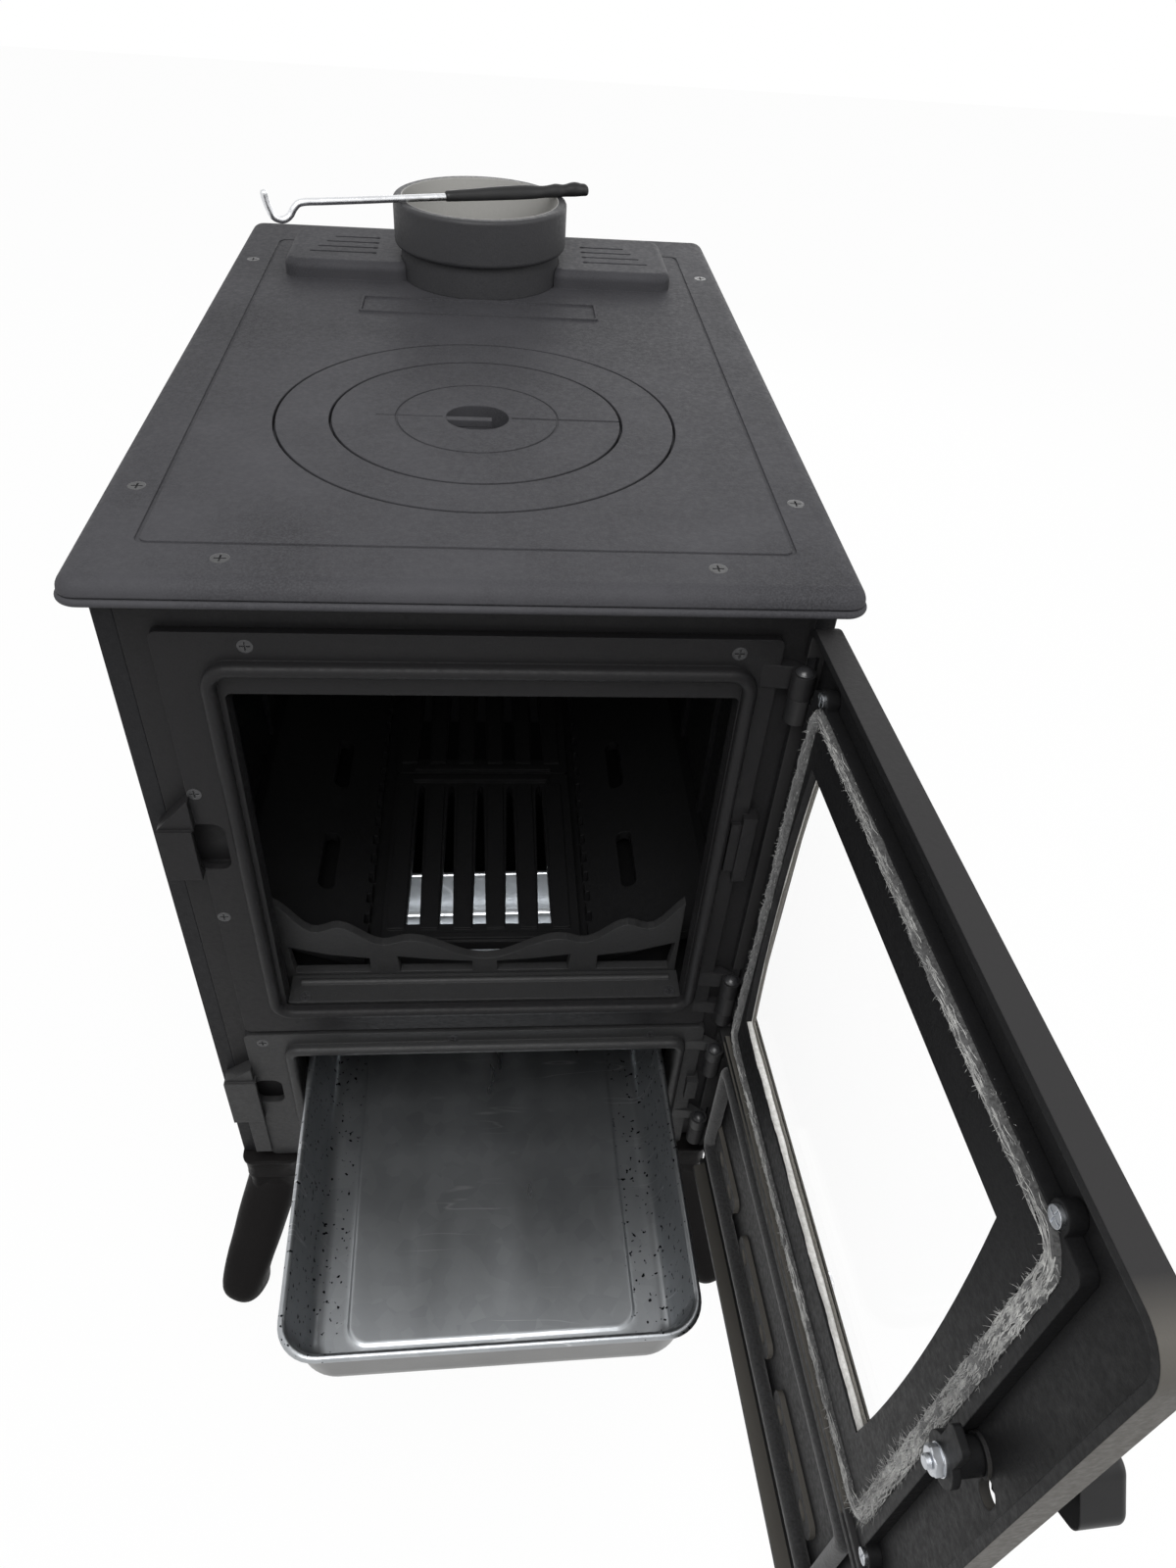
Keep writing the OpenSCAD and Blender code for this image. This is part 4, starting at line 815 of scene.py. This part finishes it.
grip_verts = [on_tool(u, r * GRIP_NARROW * math.cos(a), max(r * math.sin(a) + rise, RIM_BELOW))
              for u, r, rise in GRIP_ROWS for a in (turn_of(k, GRIP_SEGS) for k in range(GRIP_SEGS))]
grip = build("lifter_grip", grip_verts, bar_faces(len(GRIP_ROWS), GRIP_SEGS), "lid_tool", "grip_black",
             stands_for=("tool_grip",))
soft = grip.modifiers.new("soft", "SUBSURF")
soft.levels = soft.render_levels = 1

# ---------- ash pan, turned a little as it stands in the photograph ----------
PAN_YAW = math.radians(1.2)
PAN_CORNER = 10
PAN_SEGS = 4 * PAN_CORNER
# half width, half length, corner radius, height: from the pressed panel out over the rim and back
# underneath
PAN_ROWS = (
    (104.5, 196.5, 13, 238.2), (106.3, 198.3, 14, 238.2), (107.0, 199.0, 14.5, 238.05),
    (108.2, 200.2, 15.5, 237.45), (109.0, 201.0, 16, 237.3), (112, 204, 17, 237.3),
    (123.5, 213.5, 19, 237.3), (126.0, 215.5, 20, 237.4), (129.2, 217.6, 21, 238.3),
    (132.2, 219.2, 22, 240.2), (134.6, 220.3, 22.5, 243.0), (136.2, 221.0, 23, 246.6),
    (137.2, 221.3, 23, 250.0), (144.4, 223.0, 26, 283.5), (145.0, 223.2, 26.2, 286.4),
    (145.2, 223.2, 26.4, 288.8), (145.7, 223.7, 26.6, 290.9), (146.9, 224.9, 27, 292.1),
    (148.4, 226.4, 27.6, 292.4), (149.8, 227.8, 28.2, 291.7), (150.8, 228.8, 28.8, 290.3),
    (151.0, 229.0, 29, 288.7), (150.3, 228.3, 28.4, 287.2), (148.9, 226.9, 27.6, 286.4),
    (147.2, 225.4, 27, 286.2), (146.4, 224.6, 27, 284.6), (146.1, 224.3, 27, 283.0),
    (138.7, 222.5, 24, 250.0), (137.2, 221.9, 24, 245.0), (134.6, 220.8, 23, 240.6),
    (130.9, 218.6, 22, 237.4), (126.8, 216.0, 20, 236.2), (122.0, 212.0, 19, 236.1))


def on_pan(x, y, z):
    return place(PAN_X + x * math.cos(PAN_YAW) - y * math.sin(PAN_YAW),
                 PAN_Y + x * math.sin(PAN_YAW) + y * math.cos(PAN_YAW), z)


def across_faces(first, flip):
    """Strips that close the flat middle of a row, from its right edge to its left one."""
    right = [*range(PAN_CORNER - 1, -1, -1), *range(PAN_SEGS - 1, 3 * PAN_CORNER - 1, -1)]
    left = [*range(PAN_CORNER, 3 * PAN_CORNER)]
    faces = []
    for k in range(len(left) - 1):
        strip = tuple(first + i for i in (right[k], left[k], left[k + 1], right[k + 1]))
        faces.append(strip[::-1] if flip else strip)
    return faces


pan_verts = [on_pan(x, y, z) for half_x, half_y, r, z in PAN_ROWS
             for x, y in rounded_row(half_x, half_y, r, PAN_CORNER)]
pan_faces = (row_faces(len(PAN_ROWS), PAN_SEGS) + across_faces(0, True)
             + across_faces(len(pan_verts) - PAN_SEGS, False))
build("pan_sheet", pan_verts, pan_faces, "ash_pan", "galvanised", stands_for=("ash_pan",))

# ---------- legs: measures of the front left one, which the others mirror ----------
HALF_W = 217.0
BODY_D = 638.0
LEG_TOP = 112.0
LEG_OUT = 80.0
LEG_SEGS = 40
LEG_HEIGHTS = (0, 1.2, 3, 5.5, 8.5, 12, 16, 20, 25, 31, 38, 46, 54, 62, 70, 78, 86, 93, 100, 106, 112)
# the leg's root and its cap's middle, from the body's corner, and the way the leg leans in plan
LEG_ROOT = (25.5, 15.5)
CAP_MID = (25.5, 16)
LEG_TURN = math.atan2(-72, -34)
# how far inside the CAD's leg the surface stays, and the power that squares its round section
LEG_INSET = 0.3
LEG_SQUARE = 0.82
CAP_HALF_X, CAP_HALF_Y, CAP_R = 25.0, 28.0, 8.5
CAP_CORNER = 8
# a narrow neck, a rolled lip and the wider seat under the body: rows of (outset, height)
CAP_ROWS = ((-4.0, 96.0), (-2.6, 96.2), (-1.6, 97.0), (-1.1, 98.6), (-1.0, 101.0), (-1.0, 115.0),
            (-0.8, 116.6), (-0.2, 117.6), (0.3, 118.6), (0.5, 120.0), (0.5, 121.2), (0.2, 122.4),
            (0.0, 124.0), (0.0, 141.0), (0.5, 142.4), (1.3, 143.4), (1.5, 144.6), (1.5, 146.6),
            (1.2, 147.6), (0.3, 147.95))


def leg_section(z):
    """Middle, half thickness and half width of a leg at a height, in the leg's own plane."""
    # it leans out as it goes down, with a knee under the cap
    mid = LEG_OUT * math.sin(math.pi / 2 * clamp((LEG_TOP - z) / (LEG_TOP - 8))) ** 2
    mid += 8 * math.sin(math.pi * clamp((LEG_TOP - z) / 62))
    # thick at the top and at the toe, and rounded under
    half = 18 + 8 * max(0.0, (z - 40) / (LEG_TOP - 40)) ** 1.2 + 5 * math.exp(-((z - 12) / 11) ** 2)
    half -= 6 * max(0.0, (6 - z) / 6) ** 2
    broad = 20.5 + 4 * math.sin(math.pi / 2 * clamp((z - 12) / 75))
    broad -= 5 * max(0.0, (8 - z) / 8) ** 2
    return mid, half - LEG_INSET, broad - LEG_INSET


def squared(value):
    return math.copysign(abs(value) ** LEG_SQUARE, value)


def leg_piece(name, node, side, rear):
    """A leg and its cap; side is 1 on the left and -1 on the right."""
    verts = []

    def stand(x, y, z):
        verts.append(place((x - HALF_W) * side, BODY_D - y if rear else y, z))

    for z in LEG_HEIGHTS:
        mid, half, broad = leg_section(z)
        for k in range(LEG_SEGS):
            a = turn_of(k, LEG_SEGS)
            u, v = mid + half * squared(math.cos(a)), broad * squared(math.sin(a))
            stand(LEG_ROOT[0] + u * math.cos(LEG_TURN) - v * math.sin(LEG_TURN),
                  LEG_ROOT[1] + u * math.sin(LEG_TURN) + v * math.cos(LEG_TURN), z)
    faces = bar_faces(len(LEG_HEIGHTS), LEG_SEGS)
    faces += bar_faces(len(CAP_ROWS), 4 * CAP_CORNER, len(verts))
    for out, z in CAP_ROWS:
        for x, y in rounded_row(CAP_HALF_X + out, CAP_HALF_Y + out, CAP_R + out, CAP_CORNER):
            stand(CAP_MID[0] + x, CAP_MID[1] + y, z)
    # a single mirroring turns the faces inside out
    if (side < 0) != rear:
        faces = [face[::-1] for face in faces]
    build(name, verts, faces, "stove", "cast_frame", "cast_leg", (node,))


leg_piece("leg_cast_fl", "leg_front_left", 1, False)
leg_piece("leg_cast_fr", "leg_front_right", -1, False)
leg_piece("leg_cast_rl", "leg_rear_left", 1, True)
leg_piece("leg_cast_rr", "leg_rear_right", -1, True)

# ---------- floor ----------
# seen straight on, through the glass or in a reflection the floor is mostly a plain white card, which
# keeps a little of the shadow; measures in metres
FLOOR_HALF = 6
FLOOR_DROP = 0.0005
CARD_SHARE = 0.955

paper = Look("floor", "ShaderNodeBsdfDiffuse")
tone = paper.ramp(paper.noise(3, 2, 0.5), (0.3, (0.86, 0.86, 0.855)), (0.7, (0.88, 0.88, 0.875)))
paper.shaded(Color=tone)
matt = paper.shader.outputs[0]
card = paper.made("ShaderNodeEmission", 0, {"Strength": 1.0})
paper.feed(paper.out, paper.blend(paper.seen(), matt, paper.blend(CARD_SHARE, matt, card)))

floor_mesh = bpy.data.meshes.new("floor")
grid = bmesh.new()
bmesh.ops.create_grid(grid, x_segments=2, y_segments=2, size=FLOOR_HALF)
grid.to_mesh(floor_mesh)
grid.free()
floor = bpy.data.objects.new("floor", floor_mesh)
bpy.context.scene.collection.objects.link(floor)
floor.location = (0, 0, height(0) - FLOOR_DROP)
floor_mesh.materials.append(paper.mat)
